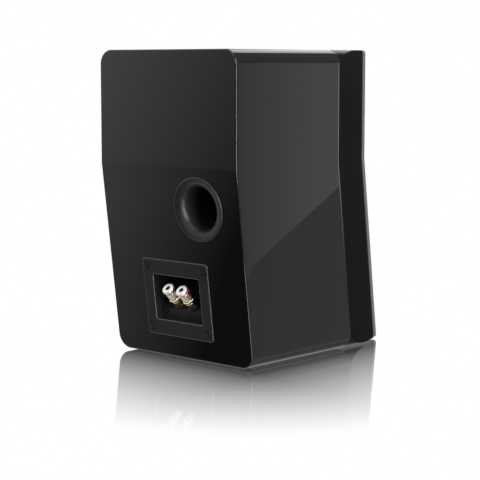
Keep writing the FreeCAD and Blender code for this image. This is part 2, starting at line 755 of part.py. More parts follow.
def make_woofer_cone():
    cone = turned([(NECK_R, NECK_Z - 1), (NECK_R, NECK_Z), (CONE_R, CONE_FRONT),
                   (CONE_R, CONE_FRONT - CONE_T), (NECK_R + 1.2, NECK_Z - 1)])
    return put(cone, woofer_place())


def dome_profile(rim_r, rim_z, rise, thick, steps=8):
    """Thin spherical cap: rim radius, rim height, rise and thickness."""
    ball = (rim_r * rim_r + rise * rise) / (2 * rise)
    half = math.asin(min(1.0, rim_r / ball))
    centre = rim_z + rise - ball
    outer = []
    inner = []
    for i in range(steps + 1):
        t = half * (1 - i / steps)
        outer.append((ball * math.sin(t), centre + ball * math.cos(t)))
        inner.append(((ball - thick) * math.sin(t), centre + (ball - thick) * math.cos(t)))
    return outer + inner[::-1]


def make_woofer_dust_cap():
    rim = 20.0
    cap = turned(dome_profile(rim, cone_z(rim) + 0.3, 6.0, 0.8))
    return put(cap, woofer_place())


def make_woofer_surround():
    """Half-roll between cone edge and flange, with a flat lip at each side."""
    inner, outer = CONE_R, WOOF_BORE_R
    thick = 1.2
    roll = (outer - inner) / 2 - 0.5
    mean = inner + roll
    base = CONE_FRONT + 0.05
    steps = 10
    top = []
    under = []
    for i in range(steps + 1):
        t = math.pi * (1 - i / steps)
        top.append((mean + roll * math.cos(t), base + thick + roll * math.sin(t)))
        under.append((mean + (roll - thick) * math.cos(t), base + (roll - thick) * math.sin(t)))
    lip = [(inner - 3, base + thick)]
    back = [(inner - 3, base)]
    rim = [(outer, base + thick), (outer, base)]
    return put(turned(lip + top + rim + under[::-1] + back), woofer_place())


def make_woofer_voice_coil():
    low = -WOOF_DEEP - PLATE_T - 6
    coil = turned([(WOOF_COIL_R - 0.4, low), (WOOF_COIL_R + 0.4, low), (WOOF_COIL_R + 0.4, NECK_Z - 1),
                   (NECK_R, NECK_Z - 1), (NECK_R, NECK_Z + 1.5), (WOOF_COIL_R - 0.4, NECK_Z + 1.5)])
    return put(coil, woofer_place())


def make_woofer_spider():
    """Corrugated disc from the coil to the basket's ring."""
    inner, outer = WOOF_COIL_R + 0.5, WOOF_MAG_R - 8
    base = -WOOF_DEEP + 3.6
    waves, steps, thick, rise = 4, 48, 0.7, 1.1
    top = []
    for i in range(steps + 1):
        r = inner + (outer - inner) * i / steps
        top.append((r, base + thick + rise * (1 - math.cos(2 * math.pi * waves * i / steps)) / 2))
    under = [(r, z - thick) for r, z in top]
    return put(turned(top + under[::-1]), woofer_place())


def motor_plates(radius, coil_r, deep, plate_t, mag_t):
    """Top plate, ring magnet and back plate with its vented pole."""
    gap = 0.9
    top = ring(coil_r + gap, radius - 2, -deep - plate_t, -deep)
    magnet = ring(coil_r + 8, radius, -deep - plate_t - mag_t, -deep - plate_t)
    back = -deep - plate_t - mag_t
    base = disc(radius - 2, back - plate_t, back).fuse(disc(coil_r - gap, back, -deep))
    vent = disc(coil_r * 0.35, back - plate_t - 1, -deep + 1)
    return top, magnet, base.removeSplitter().cut(vent)


def woofer_motor():
    return motor_plates(WOOF_MAG_R, WOOF_COIL_R, WOOF_DEEP, PLATE_T, WOOF_MAG_T)


TAG_T = 2.0
TAG_UP = WOOF_MAG_R + 3.0       # wire seat on the tag strip above the woofer's axis
TAG_BACK = -WOOF_DEEP - TAG_T   # back of the strip


def make_woofer_tags():
    """Insulated tag strip behind the basket's back ring, just above the top plate."""
    strip = box(-12, 12, TAG_UP - 4.4, TAG_UP + 2.0, TAG_BACK, -WOOF_DEEP)
    return put(strip, woofer_place())


# ---------------------------------------------------------------- tweeter
def tweeter_place():
    return facing_front(0, Y_FRONT, Z_TWEET)


DOME_BASE = -5.0


def make_tweeter_faceplate():
    """Plate with a shallow horn down to the dome's surround."""
    throat = DOME_R + 5.0
    plate = turned([(throat, -TWEET_T - 3), (TWEET_CUT_R - 1.5, -TWEET_T - 3),
                    (TWEET_CUT_R - 1.5, -TWEET_T), (TWEET_R, -TWEET_T), (TWEET_R, -0.8),
                    (TWEET_R - 0.8, 0), (throat + 14, 0), (throat + 7, -1.6), (throat, -4.6)])
    hole = disc(1.8, -10, 5)
    hole.translate(V(TWEET_PCR, 0, 0))
    sink = disc(3.6, -TWEET_SINK, 5)
    sink.translate(V(TWEET_PCR, 0, 0))
    return put(cut_all(plate, around(hole, 4, 45) + around(sink, 4, 45)), tweeter_place())


def make_tweeter_screws():
    one = screw(3.3, 1.9, TWEET_SCREW_R, TWEET_SCREW_L)
    one.translate(V(TWEET_PCR, 0, -TWEET_SINK))
    return Part.makeCompound([put(s, tweeter_place()) for s in around(one, 4, 45)])


def make_tweeter_dome():
    return put(turned(dome_profile(DOME_R, DOME_BASE, 5.0, 0.4)), tweeter_place())


def make_tweeter_surround():
    inner, outer = DOME_R + 0.1, DOME_R + 4.8
    mean, roll, thick, steps = (inner + outer) / 2, (outer - inner) / 2, 0.4, 8
    top = []
    under = []
    for i in range(steps + 1):
        t = math.pi * (1 - i / steps)
        top.append((mean + roll * math.cos(t), DOME_BASE + 0.6 * roll * math.sin(t)))
        under.append((mean + (roll - thick) * math.cos(t),
                      DOME_BASE - thick + 0.6 * roll * math.sin(t)))
    return put(turned(top + under[::-1]), tweeter_place())


def make_tweeter_voice_coil():
    coil = ring(DOME_R - 0.45, DOME_R - 0.05, DOME_BASE - 8, DOME_BASE - 0.5)
    return put(coil, tweeter_place())


TWEET_DEEP = TWEET_T + 3.0
TWEET_PLATE_T = 3.0


def tweeter_motor():
    return motor_plates(TWEET_MAG_R, DOME_R - 0.25, TWEET_DEEP, TWEET_PLATE_T, TWEET_MAG_T)


def make_tweeter_chamber():
    """Cup behind the magnet that damps the dome's back wave."""
    front = -TWEET_DEEP - 2 * TWEET_PLATE_T - TWEET_MAG_T
    r, wall, long = TWEET_MAG_R - 8, 2.0, 22.0
    cup = turned([(r - wall, front), (r, front), (r, front - long + 3), (r - 3, front - long),
                  (0, front - long), (0, front - long + wall), (r - wall, front - long + wall)])
    return put(cup, tweeter_place())


# ---------------------------------------------------------------- grille
def peg_spots():
    """Frames of the grille pegs on the baffle's front, local z along -Y."""
    x = FRONT_HALF - PEG_INSET
    margin = PEG_INSET + 10
    spots = []
    for z in (Z_TOP - margin, Z_KINK + margin, Z_BOTTOM + margin):
        for side in (-1, 1):
            spots.append(facing_front(side * x, Y_FRONT - lean_shift(z), z))
    return spots


def grille_form(front, rear, inset):
    width = 2 * (FRONT_HALF - inset)
    form = slab(width, CAB_H - 2 * inset, max(GRILLE_R - inset, 1.0), -REACH, REACH)
    return put(form, facing_front(0, 0, Z_MID)).common(band(front, rear))


GRILLE_OFF = 0.3        # gap between baffle and grille


def make_grille_frame():
    frame_body = grille_form(Y_FRONT - GRILLE_T + CLOTH_T, Y_FRONT - GRILLE_OFF, CLOTH_T)
    wide = 2 * (FRONT_HALF - GRILLE_BAR)
    bar = GRILLE_BAR
    upper = (Z_KINK + bar / 2, Z_TOP - bar)
    lower = (Z_BOTTOM + bar, Z_KINK - bar / 2)
    windows = [
        put(slab(wide, high - low, 12, -REACH, REACH), facing_front(0, 0, (high + low) / 2))
        for low, high in (upper, lower)
    ]
    return cut_all(frame_body, windows + make_grille_pegs())


def make_grille_cloth():
    """Cloth stretched over the frame's front and turned round its edges."""
    outer = grille_form(Y_FRONT - GRILLE_T, Y_FRONT - GRILLE_OFF, 0)
    inner = grille_form(Y_FRONT - GRILLE_T + CLOTH_T, Y_FRONT + 5, CLOTH_T)
    return outer.cut(inner)


def make_grille_pegs():
    pegs = []
    for spot in peg_spots():
        reach = GRILLE_T - CLOTH_T
        peg = turned([(0, -PEG_LEN), (PEG_R - 0.8, -PEG_LEN), (PEG_R, -PEG_LEN + 0.8),
                      (PEG_R, reach / 2), (0, reach / 2)])
        pegs.append(put(peg, spot))
    return pegs


def make_grille_sockets():
    sockets = []
    for spot in peg_spots():
        cup = disc(SOCKET_R, -PEG_LEN - 4, -2).cut(disc(PEG_R + RUN_CLEAR, -PEG_LEN - 2, 5))
        sockets.append(put(cup, spot))
    return Part.makeCompound(sockets)


# ---------------------------------------------------------------- crossover
BOARD_X = CAB_W / 2 - WALL - STANDOFF_H - BOARD_T   # component side of the board


def board_frame():
    """Frame at the board's centre: local x is -Y (forward), y is up, z is into the box."""
    rear_edge = Y_REAR - REAR_T - BOARD_BACK
    z = Z_BOTTOM + WALL + BOARD_RISE + BOARD_H / 2
    return frame(V(BOARD_X, rear_edge - BOARD_W / 2, z), V(0, -1, 0), V(0, 0, 1), V(-1, 0, 0))


def board_corners():
    inset = 6.0
    a, b = BOARD_W / 2 - inset, BOARD_H / 2 - inset
    return [(a, b), (-a, b), (-a, -b), (a, -b)]


def at_board(shape, x, y):
    moved = shape.copy()
    moved.translate(V(x, y, 0))
    return put(moved, board_frame())


def make_crossover_board():
    board = slab(BOARD_W, BOARD_H, 3, -BOARD_T, 0)
    holes = []
    for x, y in board_corners():
        hole = disc(1.6, -5, 5)
        hole.translate(V(x, y, 0))
        holes.append(hole)
    return put(cut_all(board, holes), board_frame())


def make_board_standoffs():
    post = ring(1.5, 3.5, -BOARD_T - STANDOFF_H, -BOARD_T)
    return Part.makeCompound([at_board(post, x, y) for x, y in board_corners()])


def make_board_screws():
    one = screw(2.9, 2.0, 1.5, BOARD_T + STANDOFF_H - 1)
    return Part.makeCompound([at_board(one, x, y) for x, y in board_corners()])


def bobbin(core_r, outer_r, height):
    """Wound coil between two flanges."""
    return turned([(core_r, 0), (outer_r + 1.5, 0), (outer_r + 1.5, 1.5), (outer_r, 1.5),
                   (outer_r, height - 1.5), (outer_r + 1.5, height - 1.5), (outer_r + 1.5, height),
                   (core_r, height)])


def make_woofer_inductor():
    return at_board(bobbin(6, 19, 24), 12, -32)


def make_tweeter_inductor():
    return at_board(bobbin(5, 12, 14), 18, 8)


def make_film_capacitors():
    caps = []
    for y, radius, length in ((12, 8.0, 30), (-10, 6.5, 26), (34, 9.0, 34)):
        body = Part.makeCylinder(radius, length, V(-length / 2, 0, radius), V(1, 0, 0))
        ends = [e for e in body.Edges if e.Closed]
        body = body.makeFillet(1.2, ends)
        caps.append(at_board(body, -14 if y < 30 else -8, y))
    return Part.makeCompound(caps)


def make_power_resistors():
    block = box(-4, 4, -11, 11, 0, 8)
    return Part.makeCompound([at_board(block, x, -34) for x in (-30, -19)])


# ---------------------------------------------------------------- wiring
def wire_run(points, radius):
    """Round wire along straight runs joined by tangent arcs."""
    edges = []
    start = points[0]
    for before, corner, after in zip(points, points[1:], points[2:]):
        come = (corner - before).normalize()
        leave = (after - corner).normalize()
        turn = come.getAngle(leave)
        short = min((corner - before).Length, (after - corner).Length)
        bend = 0.45 * short / math.tan(turn / 2)
        pull = bend * math.tan(turn / 2)
        first = corner - come * pull
        last = corner + leave * pull
        inward = (leave - come).normalize()
        middle = corner + inward * (bend / math.cos(turn / 2) - bend)
        edges.append(Part.LineSegment(start, first).toShape())
        edges.append(Part.Arc(first, middle, last).toShape())
        start = last
    edges.append(Part.LineSegment(start, points[-1]).toShape())
    path = Part.Wire(edges)
    heading = (points[1] - points[0]).normalize()
    section = Part.Wire(Part.makeCircle(radius, points[0], heading))
    return path.makePipeShell([section], True, False)


def pad_at(x, y):
    """Soldering point on the board's component side, and a point straight above it."""
    return board_frame().multVec(V(x, y, 0)), board_frame().multVec(V(x, y, 9))


def make_input_wires():
    """Two leads from the post lugs to the board's lower rear corner."""
    low = lug_levels()[0]
    wires = []
    for side in (-1, 1):
        start = post_frame(side).multVec(V(0, 13.5, low))
        below = post_frame(side).multVec(V(0, 13.5, low - 9))
        pad, over = pad_at(-BOARD_W / 2 + 18, -BOARD_H / 2 + 14 - 3.5 * side)
        part_way = V(over.x - 32, over.y + 16, over.z - 14 - 2 * side)
        wires.append(wire_run([start, below, part_way, over, pad], WIRE_R))
    return Part.makeCompound(wires)


def make_woofer_wires():
    """Two leads from the tag strip, through the brace's lower window, to the board's front edge."""
    wires = []
    for side in (-1, 1):
        start = woofer_place().multVec(V(7 * side, TAG_UP, TAG_BACK))
        behind = woofer_place().multVec(V(7 * side, TAG_UP, TAG_BACK - 14))
        pad, over = pad_at(BOARD_W / 2 - 8, BOARD_H / 2 - 26 - 4 * side)
        part_way = V(over.x - 30, behind.y + 34, over.z + 8 - 3 * side)
        wires.append(wire_run([start, behind, part_way, over, pad], WIRE_R))
    return Part.makeCompound(wires)


def make_tweeter_wires():
    """Two leads from the tweeter's back plate, through the upper window, to the board's top."""
    back = -TWEET_DEEP - 2 * TWEET_PLATE_T - TWEET_MAG_T
    wires = []
    for side in (-1, 1):
        start = tweeter_place().multVec(V(TWEET_MAG_R - 4.5, 4 * side, back))
        behind = tweeter_place().multVec(V(TWEET_MAG_R - 4.5, 4 * side, back - 16))
        pad, over = pad_at(BOARD_W / 2 - 18, BOARD_H / 2 - 7 + 3 * side)
        past_brace = Y_REAR - BRACE_BACK + BRACE_T / 2 + 16
        window = V(over.x - 12, past_brace, Z_KINK + BRACE_BAR + 14 + 4 * side)
        wires.append(wire_run([start, behind, window, over, pad], WIRE_R))
    return Part.makeCompound(wires)


NODES = {}


def add(name, shape):
    NODES[name] = shape


def build():
    add("cabinet_shell", make_cabinet_shell())
    add("rear_panel", make_rear_panel())
    add("front_baffle", make_front_baffle())
    add("window_brace", make_window_brace())
    add("damping_pad_top", make_damping_pad_top())
    add("damping_pad_side", make_damping_pad_side())
    add("rubber_feet", make_rubber_feet())
    add("port_flare_outer", make_port_flare_outer())
    add("port_tube", make_port_tube())
    add("port_flare_inner", make_port_flare_inner())
    add("terminal_cup", make_terminal_cup())
    add("terminal_gasket", make_terminal_gasket())
    add("terminal_screws", make_terminal_screws())
    add("post_shafts", make_post_shafts())
    add("post_insulators", make_post_insulators())
    add("post_inner_washers", make_post_inner_washers())
    add("post_hex_nuts", make_post_hex_nuts())
    add("post_solder_lugs", make_post_solder_lugs())
    for name, side in (("minus", -1), ("plus", 1)):
        add(name + "_clamp_collar", put(collar(), post_frame(side)))
        add(name + "_thumb_nut", put(thumb_nut(), post_frame(side)))
        add(name + "_polarity_ring", put(polarity_ring(), post_frame(side)))
    add("woofer_basket", make_woofer_basket())
    add("woofer_gasket", make_woofer_gasket())
    add("woofer_screws", make_woofer_screws())
    add("woofer_cone", make_woofer_cone())
    add("woofer_dust_cap", make_woofer_dust_cap())
    add("woofer_surround", make_woofer_surround())
    add("woofer_voice_coil", make_woofer_voice_coil())
    add("woofer_spider", make_woofer_spider())
    for name, shape in zip(("top_plate", "magnet", "back_plate"), woofer_motor()):
        add("woofer_" + name, put(shape, woofer_place()))
    add("woofer_tags", make_woofer_tags())
    add("tweeter_faceplate", make_tweeter_faceplate())
    add("tweeter_screws", make_tweeter_screws())
    add("tweeter_dome", make_tweeter_dome())
    add("tweeter_surround", make_tweeter_surround())
    add("tweeter_voice_coil", make_tweeter_voice_coil())
    for name, shape in zip(("top_plate", "magnet", "back_plate"), tweeter_motor()):
        add("tweeter_" + name, put(shape, tweeter_place()))
    add("tweeter_chamber", make_tweeter_chamber())
    add("grille_frame", make_grille_frame())
    add("grille_cloth", make_grille_cloth())
    add("grille_pegs", Part.makeCompound(make_grille_pegs()))
    add("grille_sockets", make_grille_sockets())
    add("crossover_board", make_crossover_board())
    add("board_standoffs", make_board_standoffs())
    add("board_screws", make_board_screws())
    add("woofer_inductor", make_woofer_inductor())
    add("tweeter_inductor", make_tweeter_inductor())
    add("film_capacitors", make_film_capacitors())
    add("power_resistors", make_power_resistors())
    add("input_wires", make_input_wires())
    add("woofer_wires", make_woofer_wires())
    add("tweeter_wires", make_tweeter_wires())


def main():
    os.makedirs("parts", exist_ok=True)
    build()
    for name, shape in NODES.items():
        shape.exportStep("parts/" + name + ".step")
        bounds = shape.BoundBox
        print(name, len(shape.Solids), shape.isValid(), round(shape.Volume / 1000, 2),
              [round(v, 1) for v in (bounds.XMin, bounds.XMax, bounds.YMin, bounds.YMax,
                                     bounds.ZMin, bounds.ZMax)])


main()
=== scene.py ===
"""Looks of a two-way bookshelf speaker: a polished, kinked cabinet with a flared rear port,
recessed binding posts, a satin faceted baffle and a cloth grille, on a pale reflecting floor.

Metres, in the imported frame: the grille faces -Y, the port and posts face +Y, +Z is up.
"""
import json
import math

import bmesh
import bpy
import mathutils
import numpy as np
from mathutils.geometry import tessellate_polygon
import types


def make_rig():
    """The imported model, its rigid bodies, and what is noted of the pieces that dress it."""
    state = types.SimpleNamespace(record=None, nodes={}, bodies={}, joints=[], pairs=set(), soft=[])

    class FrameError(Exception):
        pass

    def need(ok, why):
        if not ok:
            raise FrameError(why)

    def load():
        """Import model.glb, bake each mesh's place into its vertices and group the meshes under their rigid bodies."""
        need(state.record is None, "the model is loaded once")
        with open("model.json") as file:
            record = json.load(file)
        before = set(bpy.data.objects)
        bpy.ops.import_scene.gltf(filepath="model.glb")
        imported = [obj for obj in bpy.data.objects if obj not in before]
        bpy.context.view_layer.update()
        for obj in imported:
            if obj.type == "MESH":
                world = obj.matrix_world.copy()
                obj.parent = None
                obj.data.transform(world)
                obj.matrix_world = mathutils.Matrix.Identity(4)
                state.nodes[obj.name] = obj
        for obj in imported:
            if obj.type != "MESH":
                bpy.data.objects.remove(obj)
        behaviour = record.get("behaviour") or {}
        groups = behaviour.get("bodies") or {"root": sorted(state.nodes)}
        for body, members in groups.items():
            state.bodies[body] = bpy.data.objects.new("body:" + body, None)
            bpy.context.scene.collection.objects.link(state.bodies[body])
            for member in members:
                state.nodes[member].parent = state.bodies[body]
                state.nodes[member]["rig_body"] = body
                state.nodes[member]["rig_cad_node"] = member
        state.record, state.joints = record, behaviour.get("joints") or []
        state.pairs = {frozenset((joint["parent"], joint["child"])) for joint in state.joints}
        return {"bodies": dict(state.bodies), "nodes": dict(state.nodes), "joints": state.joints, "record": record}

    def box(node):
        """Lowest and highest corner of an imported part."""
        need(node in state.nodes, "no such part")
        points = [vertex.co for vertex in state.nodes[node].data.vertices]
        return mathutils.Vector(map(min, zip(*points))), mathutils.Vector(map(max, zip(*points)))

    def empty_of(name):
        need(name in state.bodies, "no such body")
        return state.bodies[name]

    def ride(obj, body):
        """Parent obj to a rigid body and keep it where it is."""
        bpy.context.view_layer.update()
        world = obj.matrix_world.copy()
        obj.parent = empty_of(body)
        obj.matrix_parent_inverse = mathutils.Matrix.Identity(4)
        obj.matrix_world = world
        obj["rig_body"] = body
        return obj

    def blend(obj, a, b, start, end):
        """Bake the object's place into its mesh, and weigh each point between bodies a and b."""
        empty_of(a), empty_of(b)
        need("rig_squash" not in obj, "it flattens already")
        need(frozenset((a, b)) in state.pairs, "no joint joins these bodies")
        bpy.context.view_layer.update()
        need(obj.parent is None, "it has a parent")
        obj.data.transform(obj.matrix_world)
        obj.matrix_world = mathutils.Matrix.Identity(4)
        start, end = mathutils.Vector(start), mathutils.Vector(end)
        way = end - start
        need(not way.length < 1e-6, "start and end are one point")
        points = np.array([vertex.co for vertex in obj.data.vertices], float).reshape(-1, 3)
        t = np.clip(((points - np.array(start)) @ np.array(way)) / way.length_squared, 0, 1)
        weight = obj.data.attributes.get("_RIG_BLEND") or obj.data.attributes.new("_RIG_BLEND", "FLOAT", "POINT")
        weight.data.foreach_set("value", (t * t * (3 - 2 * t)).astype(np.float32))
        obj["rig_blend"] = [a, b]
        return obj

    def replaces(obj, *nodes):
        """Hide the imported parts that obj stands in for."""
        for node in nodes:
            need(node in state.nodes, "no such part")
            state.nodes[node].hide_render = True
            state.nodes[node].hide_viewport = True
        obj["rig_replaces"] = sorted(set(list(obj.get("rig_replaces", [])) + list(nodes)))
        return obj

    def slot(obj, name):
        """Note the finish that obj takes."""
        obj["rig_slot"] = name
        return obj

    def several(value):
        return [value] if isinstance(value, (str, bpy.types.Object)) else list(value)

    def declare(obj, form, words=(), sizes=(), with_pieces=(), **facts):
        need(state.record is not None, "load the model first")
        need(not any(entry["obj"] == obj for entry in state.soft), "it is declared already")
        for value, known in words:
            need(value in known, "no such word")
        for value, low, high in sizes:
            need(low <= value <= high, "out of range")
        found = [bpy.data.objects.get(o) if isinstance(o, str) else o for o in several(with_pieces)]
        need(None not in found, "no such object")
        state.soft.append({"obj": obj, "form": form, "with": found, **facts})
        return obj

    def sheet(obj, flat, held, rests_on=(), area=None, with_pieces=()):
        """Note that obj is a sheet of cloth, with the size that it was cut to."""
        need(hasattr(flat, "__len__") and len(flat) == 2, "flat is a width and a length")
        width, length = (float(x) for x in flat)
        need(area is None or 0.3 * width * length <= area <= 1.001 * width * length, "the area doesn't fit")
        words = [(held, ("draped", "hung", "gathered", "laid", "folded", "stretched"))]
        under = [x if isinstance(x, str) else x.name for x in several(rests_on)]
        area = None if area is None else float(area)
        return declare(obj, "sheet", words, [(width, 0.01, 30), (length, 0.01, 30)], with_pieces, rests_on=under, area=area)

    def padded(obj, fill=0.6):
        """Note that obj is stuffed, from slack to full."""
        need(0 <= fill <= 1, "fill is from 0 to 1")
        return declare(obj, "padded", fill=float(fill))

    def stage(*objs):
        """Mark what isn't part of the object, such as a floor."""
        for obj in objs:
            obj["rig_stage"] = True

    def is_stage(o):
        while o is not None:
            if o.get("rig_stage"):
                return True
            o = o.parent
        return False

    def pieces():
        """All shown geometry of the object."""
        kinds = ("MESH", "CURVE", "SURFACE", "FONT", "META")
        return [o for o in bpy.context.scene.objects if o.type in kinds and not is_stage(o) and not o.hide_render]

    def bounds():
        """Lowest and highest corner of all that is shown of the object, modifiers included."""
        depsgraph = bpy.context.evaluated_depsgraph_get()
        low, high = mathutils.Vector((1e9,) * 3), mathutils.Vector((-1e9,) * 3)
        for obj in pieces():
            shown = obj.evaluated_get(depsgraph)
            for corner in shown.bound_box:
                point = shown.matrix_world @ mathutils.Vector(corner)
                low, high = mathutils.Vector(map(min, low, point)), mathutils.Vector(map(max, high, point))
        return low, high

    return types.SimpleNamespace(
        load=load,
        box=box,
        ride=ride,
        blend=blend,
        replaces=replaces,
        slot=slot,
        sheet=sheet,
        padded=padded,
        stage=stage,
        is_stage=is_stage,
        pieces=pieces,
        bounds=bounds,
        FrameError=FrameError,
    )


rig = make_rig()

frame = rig.load()
cad_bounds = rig.bounds()
MM = 0.001

# ---------------------------------------------------------------- sizes
shell_low, shell_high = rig.box("cabinet_shell")
HALF_W = shell_high.x
BOTTOM = shell_low.z
TOP = shell_high.z
Y_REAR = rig.box("rear_panel")[1].y
FRONT_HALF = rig.box("grille_cloth")[1].x  # half the width of the grille and of the flat front
LEAN = math.radians(7.08)  # slope of everything below the kink
LEAN_TAN = math.tan(LEAN)
KINK = TOP - 138.6 * MM
SLOPE_LEN = (KINK - BOTTOM) / math.cos(LEAN)
SHIFT = (KINK - BOTTOM) * LEAN_TAN  # how far forward the foot lies
WALL = 15 * MM
REAR_T = 15 * MM
BAFFLE_T = 25 * MM
GRILLE_T = 7 * MM
EDGE_R = 18 * MM  # long edges of the cabinet
ARRIS_R = 1.8 * MM  # edge round the rear panel
INNER_R = max(EDGE_R - WALL, 2 * MM)
FACET_TAN = 25.8 / 79.4  # width that the facet loses over its depth
Y_SEAM = Y_REAR - 187 * MM  # where the shell ends and the baffle begins
Y_FRONT = Y_SEAM - (HALF_W - FRONT_HALF) / FACET_TAN
SEAM_IN = 0.26 * MM  # how far the shell turns in at the seam
SEAM_RUN = 2 * SEAM_IN / FACET_TAN
ARC_STEPS = 16
ARC_POINTS = ARC_STEPS + 1

UP_SLOPE = np.array([0, math.sin(LEAN), math.cos(LEAN)])
REAR_OUT = np.array([0, math.cos(LEAN), -math.sin(LEAN)])
ALONG_X = np.array([1.0, 0, 0])
PLUMB = np.array([0, 0, 1.0])


def spot(origin, x_dir, y_dir, z_dir):
    """Carries local points to origin + x * x_dir + y * y_dir + z * z_dir."""
    axes = np.array([x_dir, y_dir, z_dir])
    return lambda points: np.asarray(origin) + np.asarray(points) @ axes


def full_turn(count):
    """Even angles once round, stopping short of the first."""
    return np.linspace(0, 2 * math.pi, count, endpoint=False)


def rear_low(x, down):
    """Place on the lower rear face: local z leaves the face and y runs up its slope."""
    origin = np.array([x, Y_REAR, KINK]) - UP_SLOPE * down
    return spot(origin, -ALONG_X, UP_SLOPE, REAR_OUT)


def front_low(down):
    """The same on the lower front, on the centre line."""
    origin = np.array([0, Y_FRONT, KINK]) - UP_SLOPE * down
    return spot(origin, ALONG_X, UP_SLOPE, -REAR_OUT)


CUP_W, CUP_H, CUP_T = 110 * MM, 96 * MM, 2 * MM
CUP_FROM_FOOT = 26.7 * MM
WOOFER_FROM_FOOT = 126 * MM
TWEETER_FROM_TOP = 73 * MM
at_port = rear_low(x=-48.5 * MM, down=49 * MM)
at_plate = rear_low(x=0, down=SLOPE_LEN - CUP_FROM_FOOT - CUP_H / 2)
at_woofer = front_low(SLOPE_LEN - WOOFER_FROM_FOOT)
at_tweeter = spot([0, Y_FRONT, TOP - TWEETER_FROM_TOP], ALONG_X, PLUMB, [0, -1.0, 0])


# ---------------------------------------------------------------- shader maths
class Flow:
    """A shader socket. Arithmetic on it adds one Math node for each operation."""

    def __init__(self, recipe, socket):
        self.recipe = recipe
        self.socket = socket

    def __add__(self, other):
        return self.recipe.math("ADD", self, other)

    def __sub__(self, other):
        return self.recipe.math("SUBTRACT", self, other)

    def __rsub__(self, other):
        return self.recipe.math("SUBTRACT", other, self)

    def __mul__(self, other):
        return self.recipe.math("MULTIPLY", self, other)

    def __truediv__(self, other):
        return self.recipe.math("DIVIDE", self, other)

    def __pow__(self, other):
        return self.recipe.math("POWER", self, other)

    __radd__ = __add__
    __rmul__ = __mul__


class Recipe:
    """A material's nodes. node() makes any node from its type, settings and socket values."""

    def __init__(self, name):
        self.made = bpy.data.materials.new(name)
        self.made.use_nodes = True
        self.tree = self.made.node_tree
        self.tree.nodes.clear()

    @classmethod
    def of(cls, tree):
        """The same helpers on a node tree that isn't a material's."""
        recipe = cls.__new__(cls)
        recipe.made, recipe.tree = None, tree
        tree.nodes.clear()
        return recipe

    def node(self, kind, out=0, settings=(), **sockets):
        node = self.tree.nodes.new("ShaderNode" + kind)
        for key, value in dict(settings).items():
            if key == "stops":
                ramp = node.color_ramp.elements
                while len(ramp) < len(value):
                    ramp.new(0.5)
                for stop, (place, colour) in zip(ramp, value):
                    stop.position = place
                    stop.color = tuple(colour) + (1,) if len(colour) == 3 else colour
            else:
                setattr(node, key, value)
        for key, value in sockets.items():
            self.feed(node, key, value)
        return Flow(self, node.outputs[out]) if len(node.outputs) else node

    def feed(self, node, key, value):
        if key.startswith("in") and key[2:].isdigit():
            socket = node.inputs[int(key[2:])]
        else:
            socket = node.inputs[key.replace("_", " ")]
        if isinstance(value, Flow):
            self.tree.links.new(value.socket, socket)
        else:
            socket.default_value = value

    def math(self, operation, first, second=0.0):
        return self.node("Math", settings={"operation": operation}, in0=first, in1=second)

    def clamp(self, value, low=0.0, high=1.0):
        return self.node("Clamp", Value=value, Min=low, Max=high)

    def place(self, scale=(1, 1, 1)):
        """Object coordinates, scaled."""
        point = self.node("TexCoord", out=3)
        return self.node("Mapping", Vector=point, Scale=scale)

    def axis(self, vector, index):
        """One number of a vector."""
        return self.node("SeparateXYZ", out=index, Vector=vector)

    def noise(self, scale, detail=2.0, rough=0.5, stretch=(1, 1, 1)):
        return self.node("TexNoise", Vector=self.place(stretch), Scale=scale, Detail=detail,
                         Roughness=rough)

    def mix(self, factor, first, second):
        """Colour mix; a colour is three numbers or a Flow."""
        first = first if isinstance(first, Flow) else tuple(first) + (1,)
        second = second if isinstance(second, Flow) else tuple(second) + (1,)
        node = self.tree.nodes.new("ShaderNodeMix")
        node.data_type = "RGBA"
        self.feed(node, "in0", factor)
        self.feed(node, "in6", first)
        self.feed(node, "in7", second)
        return Flow(self, node.outputs[2])

    def bump(self, height, depth, strength=1.0):
        return self.node("Bump", Height=height, Distance=depth, Strength=strength)

    def finish(self, **sockets):
        """Ends the material in one Principled shader."""
        shader = self.node("BsdfPrincipled")
        for key, value in sockets.items():
            if key == "Base_Color" and not isinstance(value, Flow):
                value = tuple(value) + (1,)
            self.feed(shader.socket.node, key, value)
        self.node("OutputMaterial", Surface=shader)
        return self.made


# ---------------------------------------------------------------- finishes
def polished_lacquer():
    """Black polyester polished to a mirror, with a trace of ripple and fine haze."""
    r = Recipe("polished_lacquer")
    ripple = r.noise(7, detail=1.0)
    haze = r.noise(900, detail=1.0)
    return r.finish(Base_Color=r.mix(haze, (0.0012, 0.0012, 0.0013), (0.0022, 0.0022, 0.0024)),
                    Roughness=0.004 + ripple * 0.008, Normal=r.bump(ripple, 0.00002, 0.2))


def satin_paint():
    """Sprayed satin black: fine spatter in gloss and height."""
    r = Recipe("satin_paint")
    spatter = r.noise(2600, detail=2.0)
    drift = r.noise(22, detail=2.0)
    return r.finish(Base_Color=r.mix(drift, (0.003, 0.003, 0.0032), (0.0055, 0.0055, 0.0058)),
                    Roughness=0.16 + spatter * 0.06 + drift * 0.04, Specular_IOR_Level=0.08,
                    Normal=r.bump(spatter, 0.00003, 0.5))


def moulded(name, dark, light, rough, grain, depth, shine):
    """Moulded black plastic with a spark-eroded grain of rounded pebbles."""
    r = Recipe(name)
    pebble = r.node("TexVoronoi", Vector=r.place(), Scale=grain, settings={"feature": "F1"})
    wear = r.noise(60, detail=3.0)
    return r.finish(Base_Color=r.mix(wear, dark, light), Roughness=rough + pebble * 0.12,
                    Specular_IOR_Level=shine, Normal=r.bump(1 - pebble, depth, 0.7))


